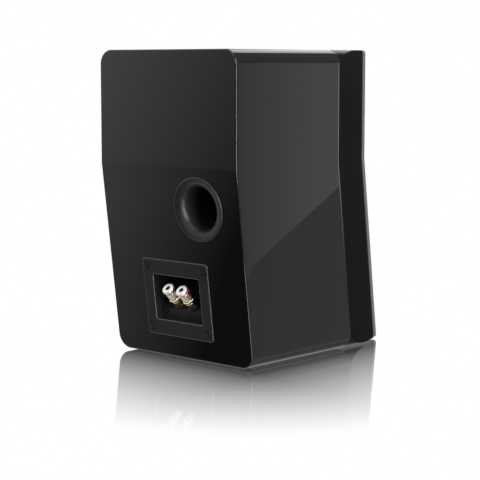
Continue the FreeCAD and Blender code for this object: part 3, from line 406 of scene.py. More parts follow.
def smooth_plastic(name, colour, rough):
    """Glossy plastic, clouded a little in colour and gloss."""
    r = Recipe(name)
    cloud = r.noise(140, detail=2.0)
    dim = tuple(c * 0.8 for c in colour)
    return r.finish(Base_Color=r.mix(cloud, dim, colour), Roughness=rough + cloud * 0.06)


def plated(name, colour, rough, lines):
    """Plated metal with fine turning marks and a little tarnish."""
    r = Recipe(name)
    tarnish = r.noise(420, detail=3.0)
    marks = r.noise(5200, detail=1.0)
    dim = tuple(c * 0.82 for c in colour)
    return r.finish(Base_Color=r.mix(tarnish, dim, colour), Metallic=1.0,
                    Roughness=rough + marks * 0.08, Normal=r.bump(marks, 0.00002, lines))


def grained(name, dark, light, grain, rough, relief):
    """Two shades, a gloss and a height that all follow one noise.

    grain is its scale, detail and roughness; rough a base and a spread; relief a depth and a
    strength."""
    r = Recipe(name)
    noise = r.noise(*grain)
    return r.finish(Base_Color=r.mix(noise, dark, light), Roughness=rough[0] + noise * rough[1],
                    Normal=r.bump(noise, *relief))


def soft_rubber(name, shade=0.008, rough=0.5):
    """Dark rubber or foam with dust that lightens and dulls it."""
    return grained(name, (shade,) * 3, (shade * 2.2 + 0.004,) * 3, (800, 4.0),
                   (rough, 0.15), (0.00004, 0.4))


def grille_weave():
    """Knitted cloth: crossed rounded threads with painted shade between them, darker where the weave sinks, on the
    piece's millimetre map.
    """
    r = Recipe("grille_weave")
    flat = r.node("UVMap", settings={"uv_map": "cloth_mm"})
    across = r.axis(flat, 0)
    along = r.axis(flat, 1)
    pitch = 0.9
    turn = 2 * math.pi / pitch
    warp = r.math("SINE", across * turn) * 0.5 + 0.5
    weft = r.math("SINE", along * turn) * 0.5 + 0.5
    over = r.math("SINE", (across + along) * (turn / 2)) * 0.5 + 0.5
    height = warp * over + weft * (1 - over)
    fuzz = r.noise(5000, detail=2.0)
    # The weave's height with a random fuzz; the colour below follows it, so the threads darken where they sink:
    # painted shade.
    relief_and_shade = height * 0.8 + fuzz * 0.2
    colour = r.mix(relief_and_shade, (0.014, 0.014, 0.015), (0.10, 0.101, 0.105))
    return r.finish(Base_Color=colour, Roughness=0.72 + fuzz * 0.2, Sheen_Weight=0.35,
                    Sheen_Roughness=0.45, Normal=r.bump(relief_and_shade, 0.00022, 0.9))


def woven_cone():
    """Woven fibre set in resin: a fine check with fibres drawn along y, under a thin coat."""
    r = Recipe("woven_cone")
    check = r.node("TexChecker", out=1, Vector=r.place(), Scale=420.0)
    fibre = r.noise(2400, detail=2.0, stretch=(1, 0.2, 1))
    height = check * 0.6 + fibre * 0.4
    return r.finish(Base_Color=r.mix(height, (0.010, 0.010, 0.011), (0.035, 0.035, 0.038)),
                    Roughness=0.32 + fibre * 0.15, Coat_Weight=0.35, Coat_Roughness=0.2,
                    Normal=r.bump(height, 0.00006, 0.6))


def wadding():
    """Matted polyester fibre."""
    r = Recipe("wadding")
    fluff = r.noise(130, detail=8.0, rough=0.75)
    return r.finish(Base_Color=r.mix(fluff, (0.42, 0.41, 0.38), (0.80, 0.79, 0.75)),
                    Roughness=0.95, Sheen_Weight=0.5, Normal=r.bump(fluff, 0.003, 0.8))


def copper_turns():
    """Enamelled wire lying in close turns, with painted shade in the grooves between them."""
    r = Recipe("copper_turns")
    bands = r.node("TexWave", out=1, Vector=r.place(), Scale=240.0, Distortion=0.4)
    # The colour follows the bands' height: painted shade in the grooves between the turns.
    return r.finish(Base_Color=r.mix(bands, (0.26, 0.09, 0.03), (0.72, 0.34, 0.14)), Metallic=0.9,
                    Roughness=0.25 + bands * 0.1, Normal=r.bump(bands, 0.0002, 0.8))


def green_laminate():
    """Glass-fibre board under a green solder mask."""
    r = Recipe("green_laminate")
    weave = r.node("TexChecker", out=1, Vector=r.place(), Scale=900.0)
    cloud = r.noise(60, detail=3.0)
    return r.finish(Base_Color=r.mix(cloud, (0.02, 0.085, 0.03), (0.035, 0.14, 0.05)),
                    Roughness=0.3 + weave * 0.06, Coat_Weight=0.4)


LACQUER = polished_lacquer()
SATIN = satin_paint()
PORT_SKIN = moulded("port_moulding", (0.007,) * 3, (0.011,) * 3, rough=0.30, grain=2500,
                    depth=0.00002, shine=0.3)
CUP_SKIN = moulded("cup_moulding", (0.007,) * 3, (0.012,) * 3, rough=0.30, grain=1500,
                   depth=0.00006, shine=0.16)
# Eased edges of the cup: glossier for real, and lighter in colour as painted highlight.
CUP_EDGE_PAINTED_HIGHLIGHT = moulded("cup_eased_edge", (0.012,) * 3, (0.02,) * 3, rough=0.12, grain=1500,
                   depth=0.00002, shine=0.9)
BLACK_RING = smooth_plastic("black_ring", (0.01, 0.01, 0.01), 0.1)
RED_RING = smooth_plastic("red_ring", (0.72, 0.018, 0.012), 0.12)
BUSH = smooth_plastic("bush_plastic", (0.012, 0.012, 0.012), 0.15)
NYLON = smooth_plastic("black_nylon", (0.012, 0.012, 0.012), 0.4)
COMPONENT = smooth_plastic("component_case", (0.02, 0.02, 0.025), 0.3)
SLEEVE = smooth_plastic("wire_sleeve", (0.25, 0.012, 0.012), 0.35)
NICKEL = plated("satin_nickel", (0.96, 0.955, 0.94), 0.3, 0.15)
CHAMPAGNE = plated("champagne_plate", (0.80, 0.72, 0.55), 0.18, 0.3)
GOLD = plated("gold_plate", (0.95, 0.72, 0.36), 0.12, 0.2)
ZINC = plated("zinc_plate", (0.62, 0.63, 0.62), 0.3, 0.5)
OXIDE = plated("black_oxide", (0.05, 0.05, 0.052), 0.28, 0.5)
DOME = plated("dome_alloy", (0.80, 0.80, 0.81), 0.22, 0.2)
FACEPLATE = plated("faceplate_anodised", (0.035, 0.035, 0.037), 0.35, 0.6)
POWDER = grained("powder_coat", (0.006,) * 3, (0.014,) * 3, (3200, 2.0), (0.5, 0.1),
                 (0.00008, 0.6))
BOARD = grained("fibreboard", (0.20, 0.12, 0.065), (0.38, 0.26, 0.15), (350, 6.0, 0.7),
                (0.8, 0.1), (0.0002, 0.5))
DYED = grained("dyed_board", (0.008,) * 3, (0.02,) * 3, (350, 6.0, 0.7), (0.75, 0.1),
               (0.0001, 0.4))
SPIDER = grained("treated_cloth", (0.34, 0.22, 0.06), (0.58, 0.42, 0.14), (1800, 2.0),
                 (0.7, 0.1), (0.0001, 0.6))
FERRITE = grained("sintered_ferrite", (0.03, 0.03, 0.032), (0.075, 0.075, 0.08), (900, 5.0),
                  (0.55, 0.2), (0.0001, 0.6))
RUBBER = soft_rubber("roll_rubber")
FOOT_RUBBER = soft_rubber("foot_rubber", 0.012, 0.65)
FOAM = soft_rubber("seal_foam", 0.015, 0.85)
WEAVE = grille_weave()
CONE = woven_cone()
WOOL = wadding()
COPPER = copper_turns()
LAMINATE = green_laminate()


# ---------------------------------------------------------------- mesh making
SAME_POINT = 2e-6


class Skin:
    """Patches of points gathered into one closed mesh."""

    def __init__(self):
        self.points = []
        self.faces = []
        self.finishes = []
        self.count = 0

    def keep(self, points, faces, finish=0):
        """Adds points, and faces that count from the first of them."""
        points = np.asarray(points, float).reshape(-1, 3)
        self.points.append(points)
        self.faces += [tuple(int(i) + self.count for i in face) for face in faces]
        self.finishes += [finish] * len(faces)
        self.count += len(points)

    def grid(self, rows, round_rows=False, round_columns=False, finish=0):
        """Quads between neighbouring rows of points."""
        rows = np.asarray(rows, float)
        index = np.arange(rows.shape[0] * rows.shape[1]).reshape(rows.shape[:2])
        if round_rows:
            index = np.vstack([index, index[:1]])
        if round_columns:
            index = np.hstack([index, index[:, :1]])
        quads = np.stack([index[:-1, :-1], index[:-1, 1:], index[1:, 1:], index[1:, :-1]], -1)
        self.keep(rows, quads.reshape(-1, 4), finish)

    def polygon(self, loop):
        """One flat convex face."""
        self.keep(loop, [tuple(range(len(loop)))])

    def cap(self, loops, axes=(0, 2), place=np.asarray):
        """Flat face with holes: triangles between an outer loop and inner loops, worked out in
        the two named axes, then placed."""
        flat = [[(point[axes[0]], point[axes[1]], 0.0) for point in loop] for loop in loops]
        self.keep(place(np.concatenate(loops)), tessellate_polygon(flat))


def show(name, skin, finishes, body, slot_name, stands_for=(), sharp=32):
    """Makes the mesh: merged, outward, smooth up to the sharp angle in degrees, riding on its
    body. Without a body, the caller blends it."""
    mesh = bpy.data.meshes.new(name)
    mesh.from_pydata(np.concatenate(skin.points).tolist(), [], skin.faces)
    for finish in finishes:
        mesh.materials.append(finish)
    mesh.polygons.foreach_set("material_index", np.array(skin.finishes, np.int32))
    shape = bmesh.new()
    shape.from_mesh(mesh)
    bmesh.ops.remove_doubles(shape, verts=shape.verts, dist=SAME_POINT)
    bmesh.ops.recalc_face_normals(shape, faces=shape.faces)
    shape.to_mesh(mesh)
    shape.free()
    mesh.shade_smooth()
    mesh.set_sharp_from_angle(angle=math.radians(sharp))
    piece = bpy.data.objects.new(name, mesh)
    bpy.context.scene.collection.objects.link(piece)
    even = piece.modifiers.new("flat_faces_first", "WEIGHTED_NORMAL")
    even.keep_sharp = True
    if body:
        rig.ride(piece, body)
    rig.slot(piece, slot_name)
    if stands_for:
        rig.replaces(piece, *stands_for)
    return piece


def turned(profile, place, segments=96, flutes=0, flute_depth=0.0, fluted=None):
    """Closed profile of (radius, height) turned about local z.

    Where fluted is 1, the radius is drawn in by flute_depth times the cube of a raised cosine."""
    skin = Skin()
    profile = np.asarray(profile, float)
    angle = full_turn(segments)
    radius = np.repeat(profile[:, :1], segments, 1)
    if flutes:
        wave = 0.5 - 0.5 * np.cos(flutes * angle)
        radius = radius - flute_depth * np.asarray(fluted, float)[:, None] * wave[None, :] ** 3
    height = np.repeat(profile[:, 1:2], segments, 1)
    points = np.stack([radius * np.cos(angle), radius * np.sin(angle), height], -1)
    skin.grid(place(points), round_rows=True, round_columns=True)
    return skin


def arc(centre, radius, start, end, steps=6):
    """(x, y) points on a circular arc, angles in degrees."""
    angle = np.radians(np.linspace(start, end, steps + 1))
    return np.stack([centre[0] + radius * np.cos(angle), centre[1] + radius * np.sin(angle)], 1)


# ---------------------------------------------------------------- cabinet
KINK_EASE = 1.5 * MM  # half the height over which the kink is eased
KINK_MARKS = (KINK - KINK_EASE, KINK, KINK + KINK_EASE)


def drawn_forward(z):
    """How far a point at height z lies forward: nothing above the kink, in proportion to the
    drop below it, and a parabola that joins the two over the eased kink."""
    drop = KINK - np.asarray(z, float)
    eased = (drop + KINK_EASE) ** 2 / (4 * KINK_EASE)
    return LEAN_TAN * np.where(np.abs(drop) < KINK_EASE, eased, np.maximum(0, drop))


def bent(outline, y):
    """Outline of (x, z) set at y and drawn forward below the kink."""
    outline = np.asarray(outline, float)
    return np.stack([outline[:, 0], y - drawn_forward(outline[:, 1]), outline[:, 1]], 1)


def tube_outline(inset, half=HALF_W, radius=None):
    """Rounded rectangle in x and z: four arcs, and points about the kink on each side."""
    radius = max(EDGE_R - inset, 1e-4) if radius is None else radius
    a = half - inset
    low, high = BOTTOM + inset, TOP - inset
    parts = [
        arc((a - radius, low + radius), radius, -90, 0, ARC_STEPS), [(a, z) for z in KINK_MARKS],
        arc((a - radius, high - radius), radius, 0, 90, ARC_STEPS),
        arc((-a + radius, high - radius), radius, 90, 180, ARC_STEPS),
        [(-a, z) for z in KINK_MARKS[::-1]],
        arc((-a + radius, low + radius), radius, 180, 270, ARC_STEPS),
    ]
    return np.concatenate(parts)


def face_of(skin, row, upper_holes=(), lower_holes=()):
    """Closes a bent outline with an upper flat, the eased kink and a lower flat. The outline has
    one arc before the kink's points on the right, and three before those on the left."""
    marks = len(KINK_MARKS)
    right, left = ARC_POINTS, 3 * ARC_POINTS + marks
    skin.cap([row[right + marks - 1:left + 1], *upper_holes])
    skin.cap([np.concatenate([row[left + marks - 1:], row[:right + 1]]), *lower_holes])
    skin.grid([row[right:right + marks], row[left:left + marks][::-1]])


def rear_holes(y):
    """Port and terminal openings, as loops on the bent plane through y. Seen level, a circle on
    the slope is an ellipse."""
    port_x, _, port_z = at_port(np.zeros(3))
    cup_z = at_plate(np.zeros(3))[2]
    wide, high = 33.5 * MM, 33.2 * MM
    angle = full_turn(64)
    ellipse = np.stack([port_x + wide * np.cos(angle), port_z + high * np.sin(angle)], 1)
    a, b = 43 * MM, 31.6 * MM
    square = [(-a, cup_z - b), (a, cup_z - b), (a, cup_z + b), (-a, cup_z + b)]
    return [bent(ellipse, y), bent(square, y)]


def dull_underside(piece):
    """Gives the second finish, sprayed matt, to the faces that look down at the feet."""
    nearly_down, just_above = -0.97, BOTTOM + 1 * MM
    for face in piece.data.polygons:
        if face.normal.z < nearly_down and face.center.z < just_above:
            face.material_index = 1


def build_rear_panel():
    """Board with a quarter-round edge: inset r (1 - cos t), depth r (1 - sin t), t to 90 deg."""
    skin = Skin()
    front_y = Y_REAR - REAR_T
    sweep = np.radians(np.linspace(0, 90, 7))
    rows = [bent(tube_outline(0), front_y)]
    rows += [bent(tube_outline(ARRIS_R * (1 - math.cos(t))), Y_REAR - ARRIS_R * (1 - math.sin(t)))
             for t in sweep]
    skin.grid(rows, round_columns=True)
    rear_cuts, front_cuts = rear_holes(Y_REAR), rear_holes(front_y)
    face_of(skin, rows[-1], lower_holes=rear_cuts)
    face_of(skin, rows[0], lower_holes=front_cuts)
    for rear, front in zip(rear_cuts, front_cuts):
        skin.grid([rear, front], round_columns=True)
    panel = show("rear_panel_lacquered", skin, [LACQUER, DYED], "cabinet", "gloss_lacquer",
                 ["rear_panel"])
    dull_underside(panel)


def build_cabinet_shell():
    """Tube wall: outer face, front land, inner face and rear land. Towards the seam the outer
    face turns in along a parabola until it is parallel with the baffle's facet."""
    skin = Skin()
    rear_y = Y_REAR - REAR_T
    rows = [bent(tube_outline(0), rear_y)]
    rows += [bent(tube_outline(SEAM_IN * t * t), Y_SEAM + SEAM_RUN * (1 - t))
             for t in np.linspace(0, 1, 6)]
    rows += [bent(tube_outline(WALL, radius=INNER_R), y) for y in (Y_SEAM, rear_y)]
    skin.grid(rows, round_rows=True, round_columns=True)
    shell = show("cabinet_shell_lacquered", skin, [LACQUER, DYED], "cabinet", "gloss_lacquer",
                 ["cabinet_shell"])
    dull_underside(shell)


def facet_outline(half, inset, radius):
    """Tube outline whose sides are cut off at x = half. Each corner arc starts where it meets
    that side."""
    core = HALF_W - inset - radius
    reach = min(max((half - core) / radius, 0.0), 1.0)
    start = math.degrees(math.acos(reach))
    low, high = BOTTOM + inset, TOP - inset
    outline = np.concatenate([arc((core, low + radius), radius, -90, -start, ARC_STEPS),
                              [(half, z) for z in KINK_MARKS],
                              arc((core, high - radius), radius, start, 90, ARC_STEPS)])
    outline[:, 0] = np.minimum(outline[:, 0], half)
    return np.concatenate([outline, outline[::-1] * [-1, 1]])


def stepped_hole(place, steps):
    """Rows of a round hole, one for each (radius, height) in millimetres."""
    angle = full_turn(96)
    return [place(np.stack([r * MM * np.cos(angle), r * MM * np.sin(angle),
                            np.full(len(angle), z * MM)], 1)) for r, z in steps]


def build_front_baffle():
    """Hollow cap: its width falls along the corner arc's cosine as it runs forward, then the
    front edge is cut off softly. The two drivers sit in stepped holes."""
    skin = Skin()
    core = HALF_W - EDGE_R
    turns = np.radians(np.linspace(15, 90, 11))
    halves = [core + EDGE_R * math.cos(t) for t in turns] + [FRONT_HALF]
    outer = [bent(facet_outline(HALF_W - SEAM_IN, 0, EDGE_R), Y_SEAM)]
    outer += [bent(facet_outline(w, 0, EDGE_R), Y_SEAM - (HALF_W - w) / FACET_TAN) for w in halves]
    soft = 0.6 * MM
    outer.append(bent(facet_outline(FRONT_HALF - soft, soft, EDGE_R - soft), Y_FRONT))
    outer[-2][:, 1] += soft
    inner_front = Y_FRONT + BAFFLE_T
    near = HALF_W - WALL / math.cos(math.atan(FACET_TAN))
    far = near - (Y_SEAM - inner_front) * FACET_TAN
    inner = [bent(facet_outline(far, WALL, INNER_R), inner_front),
             bent(facet_outline(near, WALL, INNER_R), Y_SEAM)]
    skin.grid(inner + outer, round_columns=True)
    upper_back = -BAFFLE_T / MM
    lower_back = upper_back * math.cos(LEAN)
    woofer = stepped_hole(at_woofer, [(84.4, 0), (84.4, -5), (73, -5), (73, lower_back)])
    tweeter = stepped_hole(at_tweeter, [(52.4, 0), (52.4, -4), (38, -4), (38, upper_back)])
    skin.grid(woofer, round_columns=True)
    skin.grid(tweeter, round_columns=True)
    for row, k in ((outer[-1], 0), (inner[0], -1)):
        face_of(skin, row, [tweeter[k]], [woofer[k]])
    show("front_baffle_satin", skin, [SATIN], "cabinet", "satin_baffle", ["front_baffle"],
         sharp=20)


FOOT_R = 8.0  # millimetres


def foot_spots():
    """Two feet at the rear corners of the node's box and two, closer in, under the front."""
    low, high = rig.box("rubber_feet")
    r = FOOT_R * MM
    narrow = FRONT_HALF - 24 * MM
    return [(high.x - r, high.y - r), (low.x + r, high.y - r),
            (narrow, low.y + r), (-narrow, low.y + r)]


def build_feet():
    """Round pads as thick as the gap under the cabinet, with a worn lower edge."""
    thick = BOTTOM / MM
    profile = np.array([(0, 0), (FOOT_R - 0.8, 0), (FOOT_R - 0.2, 0.25), (FOOT_R, 0.8),
                        (FOOT_R, thick), (0, thick)]) * MM
    for i, (x, y) in enumerate(foot_spots()):
        place = spot([x, y, 0], ALONG_X, [0, 1, 0], PLUMB)
        piece = show(f"foot_{i + 1}", turned(profile, place, 48), [FOOT_RUBBER], "cabinet",
                     "foot_rubber")
        if i == 0:
            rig.replaces(piece, "rubber_feet")


# ---------------------------------------------------------------- port
def build_port():
    """Flared mouth: rounded lip, then a quarter ellipse, edge_r - (edge_r - throat) sin t across
    and edge_z - drop (1 - cos t) down, into the throat. Its spigot takes the straight tube."""
    throat, tube_r, spigot_r = 25.0, 27.5, 31.0
    lip_r, lip_z, rounding = 39.3, 3.0, 2.2
    edge_r, edge_z, drop = 35.5, 2.6, 13.4
    joint_z, spigot_z, tube_z = -15.0, -27.0, -102.0
    t = np.radians(np.linspace(0, 90, 15))
    bell = np.stack([edge_r - (edge_r - throat) * np.sin(t), edge_z - drop * (1 - np.cos(t))], 1)
    rim = arc((lip_r - rounding, lip_z - rounding), rounding, 90, 0, 8)
    back = [(lip_r, 0), (spigot_r, 0), (spigot_r, spigot_z), (tube_r, spigot_z),
            (tube_r, joint_z), (throat, joint_z)]
    mouth = np.concatenate([bell[::-1], rim, back]) * MM
    show("port_mouth", turned(mouth, at_port, 128), [PORT_SKIN], "cabinet", "port_plastic",
         ["port_flare_outer"])
    tube = np.array([(throat, tube_z), (throat, joint_z), (tube_r, joint_z),
                     (tube_r, tube_z)]) * MM
    show("port_duct", turned(tube, at_port, 96), [PORT_SKIN], "cabinet", "port_plastic",
         ["port_tube"])


# ---------------------------------------------------------------- terminal cup
MOUTH_W, MOUTH_H, MOUTH_UP = 78 * MM, 56.3 * MM, 0.1 * MM
CUP_DEPTH, STEP_DEPTH, STEP_H = 45 * MM, 8 * MM, 12.5 * MM
POST_GAP = 23 * MM
POST_RISE = math.radians(45)
PANEL_TAN = math.tan(LEAN + POST_RISE)
MOUTH_FOOT = MOUTH_UP - MOUTH_H / 2
FOOT_UP = MOUTH_FOOT + STEP_H  # height of the low riser's top
BACK_UP = FOOT_UP + (CUP_DEPTH - STEP_DEPTH) / PANEL_TAN  # where the post panel meets the back
SCREW_X, SCREW_Y = 47.5 * MM, 38.5 * MM
SCREW_SINK = ((5.2, 2.0), (4.6, 0.4), (2.4, 0.4), (2.4, 0))  # radius and height, millimetres
CORNER_ARC = 6


def rounded_loop(width, height, radius, rise=0.0, marks=()):
    """Rounded rectangle in local x and y, with points at the marked heights on both sides."""
    a, b = width / 2 - radius, height / 2 - radius
    side = [m - rise for m in sorted(marks)]
    right = np.array([(width / 2, m) for m in side]).reshape(-1, 2)
    left = right[::-1] * [-1, 1]
    loop = np.concatenate([
        arc((a, -b), radius, -90, 0, CORNER_ARC), right, arc((a, b), radius, 0, 90, CORNER_ARC),
        arc((-a, b), radius, 90, 180, CORNER_ARC), left,
        arc((-a, -b), radius, 180, 270, CORNER_ARC)])
    loop[:, 1] += rise
    return loop


def raised(loop, z):
    """A flat loop of (x, y) set at height z."""
    return np.column_stack([loop, np.full(len(loop), z)])


def floor_of_cup(loop):
    """Depth of the recess: the low riser, the sloping post panel, then the back wall."""
    slope = -STEP_DEPTH - (loop[:, 1] - FOOT_UP) * PANEL_TAN
    return np.clip(slope, -CUP_DEPTH, -STEP_DEPTH)


def band_of(loop, low, high):
    """The part of a loop whose y lies from low to high, in order round its own middle."""
    near = 1e-7
    band = loop[(loop[:, 1] >= low - near) & (loop[:, 1] <= high + near)]
    middle = band.mean(0)
    return band[np.argsort(np.arctan2(band[:, 1] - middle[1], band[:, 0] - middle[0]))]


def build_terminal_cup():
    """Plate with a rounded rim, a softly rolled mouth, and the recess with its wall behind."""
    skin = Skin()
    rim, lip, wall_t, back_t, corner = 0.8 * MM, 1.2 * MM, 2.5 * MM, 3 * MM, 4 * MM
    sweep = np.radians(np.linspace(0, 90, 5))
    outer = [raised(rounded_loop(CUP_W, CUP_H, corner), 0)]
    for t in sweep:
        inset = rim * (1 - math.cos(t))
        loop = rounded_loop(CUP_W - 2 * inset, CUP_H - 2 * inset, corner)
        outer.append(raised(loop, CUP_T - rim * (1 - math.sin(t))))
    marks = (FOOT_UP, BACK_UP)
    mouth = []
    for t in sweep:
        out = lip * (1 - math.sin(t))
        loop = rounded_loop(MOUTH_W + 2 * out, MOUTH_H + 2 * out, 3 * MM + out, MOUTH_UP, marks)
        mouth.append(raised(loop, CUP_T - lip * (1 - math.cos(t))))
    wall = rounded_loop(MOUTH_W, MOUTH_H, 3 * MM, MOUTH_UP, marks)
    mouth.append(np.column_stack([wall, floor_of_cup(wall)]))
    block = rounded_loop(MOUTH_W + 2 * wall_t, MOUTH_H + 2 * wall_t, corner, MOUTH_UP, marks)
    block_top = raised(block, 0)
    block_end = np.column_stack([block, floor_of_cup(block) - back_t])
    # The plate's rounded rim and the mouth's rolled lip take the second finish, whose lighter colour is painted
    # highlight.
    skin.grid(at_plate(outer), round_columns=True, finish=1)
    skin.grid(at_plate(mouth[:-1]), round_columns=True, finish=1)
    skin.grid(at_plate(mouth[-2:]), round_columns=True)
    skin.grid(at_plate([block_top, block_end]), round_columns=True)
    angle = full_turn(40)
    ring = np.stack([np.cos(angle), np.sin(angle)], 1)
    sinks = []
    for x in (-SCREW_X, SCREW_X):
        for y in (-SCREW_Y, SCREW_Y):
            rows = [raised(ring * r * MM + [x, y], z * MM) for r, z in SCREW_SINK]
            skin.grid(at_plate(rows), round_columns=True)
            sinks.append(rows)
    skin.cap([outer[-1], mouth[0]] + [s[0] for s in sinks], (0, 1), at_plate)
    skin.cap([outer[0], block_top] + [s[-1] for s in sinks], (0, 1), at_plate)
    for loop in (mouth[-1], block_end):
        for low, high in ((-1, FOOT_UP), (FOOT_UP, BACK_UP), (BACK_UP, 1)):
            skin.polygon(at_plate(band_of(loop, low, high)))
    show("terminal_cup_moulding", skin, [CUP_SKIN, CUP_EDGE_PAINTED_HIGHLIGHT], "cabinet", "cup_plastic",
         ["terminal_cup"], sharp=28)


def build_polarity_marks():
    """A minus and a plus in bars, half sunk into the riser under the posts."""
    skin = Skin()
    up = MOUTH_FOOT + STEP_H / 2
    arm, half, proud = 2 * MM, 0.35 * MM, 0.5 * MM
    bars = [(s * POST_GAP / 2, arm, half) for s in (-1, 1)] + [(POST_GAP / 2, half, arm)]
    for x, a, b in bars:
        corners = np.array([(x - a, up - b), (x + a, up - b), (x + a, up + b), (x - a, up + b)])
        low, high = (raised(corners, -STEP_DEPTH + side * proud) for side in (-1, 1))
        skin.grid(at_plate([low, high]), round_columns=True)
        skin.polygon(at_plate(low))
        skin.polygon(at_plate(high))
    show("polarity_marks", skin, [CUP_SKIN], "cabinet", "cup_plastic")


# ---------------------------------------------------------------- binding posts
def post_place(side):
    """Where a post leaves the sloping panel, 8 mm up it; local z runs out along the post."""
    run = 8 * MM
    up = FOOT_UP + run * math.cos(LEAN + POST_RISE)
    out = -STEP_DEPTH - run * math.sin(LEAN + POST_RISE)
    origin = at_plate([side * POST_GAP / 2, up, out])
    along = [0, math.cos(POST_RISE), math.sin(POST_RISE)]
    across = [0, -math.sin(POST_RISE), math.cos(POST_RISE)]
    return spot(origin, -ALONG_X, across, along)


def build_post(name, side, ring_finish, ring_slot):
    """One post: clamp collar, fluted nut with its cap, the colour ring under the cap, and the
    bush. Profiles are (radius, height along the post) in millimetres."""
    place = post_place(side)
    collar = np.array([(3.55, 8.5), (7.2, 8.5), (7.5, 8.65), (7.6, 9.0), (7.6, 10.7), (7.5, 11.05),
                       (7.2, 11.2), (3.55, 11.2)]) * MM
    show(f"{name}_collar", turned(collar, place, 72), [GOLD], f"{name}_collar_body", "gold_plate",
         [f"{name}_clamp_collar"])
    skirt = [(3.55, 11.5), (7.4, 11.5), (7.85, 11.7), (8.0, 12.1), (8.0, 13.7), (7.0, 14.3),
             (7.0, 14.9), (7.2, 15.3), (7.2, 17.2), (7.2, 17.6), (7.2, 21.0), (7.2, 25.0),
             (7.2, 25.5), (7.0, 25.9), (5.6, 25.9), (5.6, 27.6)]
    nut_profile = np.array(skirt + [(3.55, 27.6)]) * MM
    fluted = (nut_profile[:, 1] > 17.5 * MM) & (nut_profile[:, 1] < 25.1 * MM)
    nut = turned(nut_profile, place, 240, 20, 0.45 * MM, fluted)
    show(f"{name}_nut_grip", nut, [CHAMPAGNE], f"{name}_nut_body", "nickel_nut",
         [f"{name}_thumb_nut"])
    rim = arc((6.6, 29.9), 1.3, 0, 90, 6)
    socket = [(3.3, 31.2), (3.05, 31.1), (2.9, 30.9), (2.4, 29.1), (3.55, 29.1)]
    cap = np.concatenate([[(3.55, 27.6), (7.6, 27.6), (7.9, 28.0)], rim, socket]) * MM
    segments = 96
    face = turned(cap, place, segments)
    # The socket's wall and the ledge under it take the black plastic: painted shade in the hole.
    hole = len(rim) + 4  # from the socket's second row on, three bands are dark
    face.finishes[hole * segments:(hole + 3) * segments] = [1] * (3 * segments)
    show(f"{name}_nut_cap", face, [NICKEL, BUSH], f"{name}_nut_body", "nickel_nut")
    colour = np.array([(5.6, 25.9), (7.2, 25.9), (7.4, 26.1), (7.4, 27.4), (7.2, 27.6),
                       (5.6, 27.6)]) * MM
    show(f"{name}_colour_ring", turned(colour, place, 72), [ring_finish], f"{name}_nut_body",
         ring_slot, [f"{name}_polarity_ring"])
    bush = np.array([(3.5, -4), (5, -4), (5, 0), (8.2, 0), (8.2, 2.0), (7.9, 2.4), (7.5, 2.5),
                     (3.5, 2.5)]) * MM
    piece = show(f"{name}_bush", turned(bush, place, 72), [BUSH], "cabinet", "bush_plastic")
    if side < 0:
        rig.replaces(piece, "post_insulators")


# ---------------------------------------------------------------- grille
def grille_outline(inset):
    """The cabinet's outline at the grille's width, with tighter corners."""
    corner, least = 4 * MM, 1.2 * MM
    return tube_outline(inset, FRONT_HALF, max(corner - inset, least))


def build_grille():
    """Cloth drawn over the frame: back edge, side, rounded front edge and flat front."""
    skin = Skin()
    gap, soft, thick = 0.3 * MM, 2.4 * MM, 0.8 * MM
    back = Y_FRONT - gap
    front = Y_FRONT - GRILLE_T
    sweep = np.radians(np.linspace(0, 90, 7))
    outer = [bent(grille_outline(0), back)]
    outer += [bent(grille_outline(soft * (1 - math.cos(t))), front + soft * (1 - math.sin(t)))
              for t in sweep]
    inner = [bent(grille_outline(thick + (soft - thick) * (1 - math.cos(t))),
                  front + thick + (soft - thick) * (1 - math.sin(t))) for t in sweep[::-1]]
    inner.append(bent(grille_outline(thick), back))
    skin.grid(outer, round_columns=True)
    skin.grid(inner + [outer[0]], round_columns=True)
    face_of(skin, outer[-1])
    face_of(skin, inner[0])
    cloth = show("grille_cloth_stretched", skin, [WEAVE], "grille", "grille_cloth",
                 ["grille_cloth"], sharp=50)
    map_cloth(cloth, front)
    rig.sheet(cloth, flat=(2 * (FRONT_HALF + GRILLE_T), TOP - BOTTOM + 2 * GRILLE_T),
             held="stretched", rests_on=["grille_frame"])


def map_cloth(cloth, front):
    """Millimetre map: x and z, with the depth behind the front laid out past the nearer edge."""
    layer = cloth.data.uv_layers.new(name="cloth_mm")
    corners = np.empty(len(cloth.data.loops), np.int32)
    cloth.data.loops.foreach_get("vertex_index", corners)
    points = np.empty(len(cloth.data.vertices) * 3)
    cloth.data.vertices.foreach_get("co", points)
    points = points.reshape(-1, 3)[corners]
    depth = points[:, 1] + LEAN_TAN * np.maximum(0, KINK - points[:, 2]) - front
    beside = np.abs(points[:, 0]) / FRONT_HALF > np.abs(points[:, 2] - KINK) / (TOP - BOTTOM)
    across = points[:, 0] + np.sign(points[:, 0]) * depth * beside
    along = points[:, 2] + np.sign(points[:, 2] - KINK) * depth * ~beside
    layer.data.foreach_set("uv", (np.stack([across, along], 1) / MM).ravel())


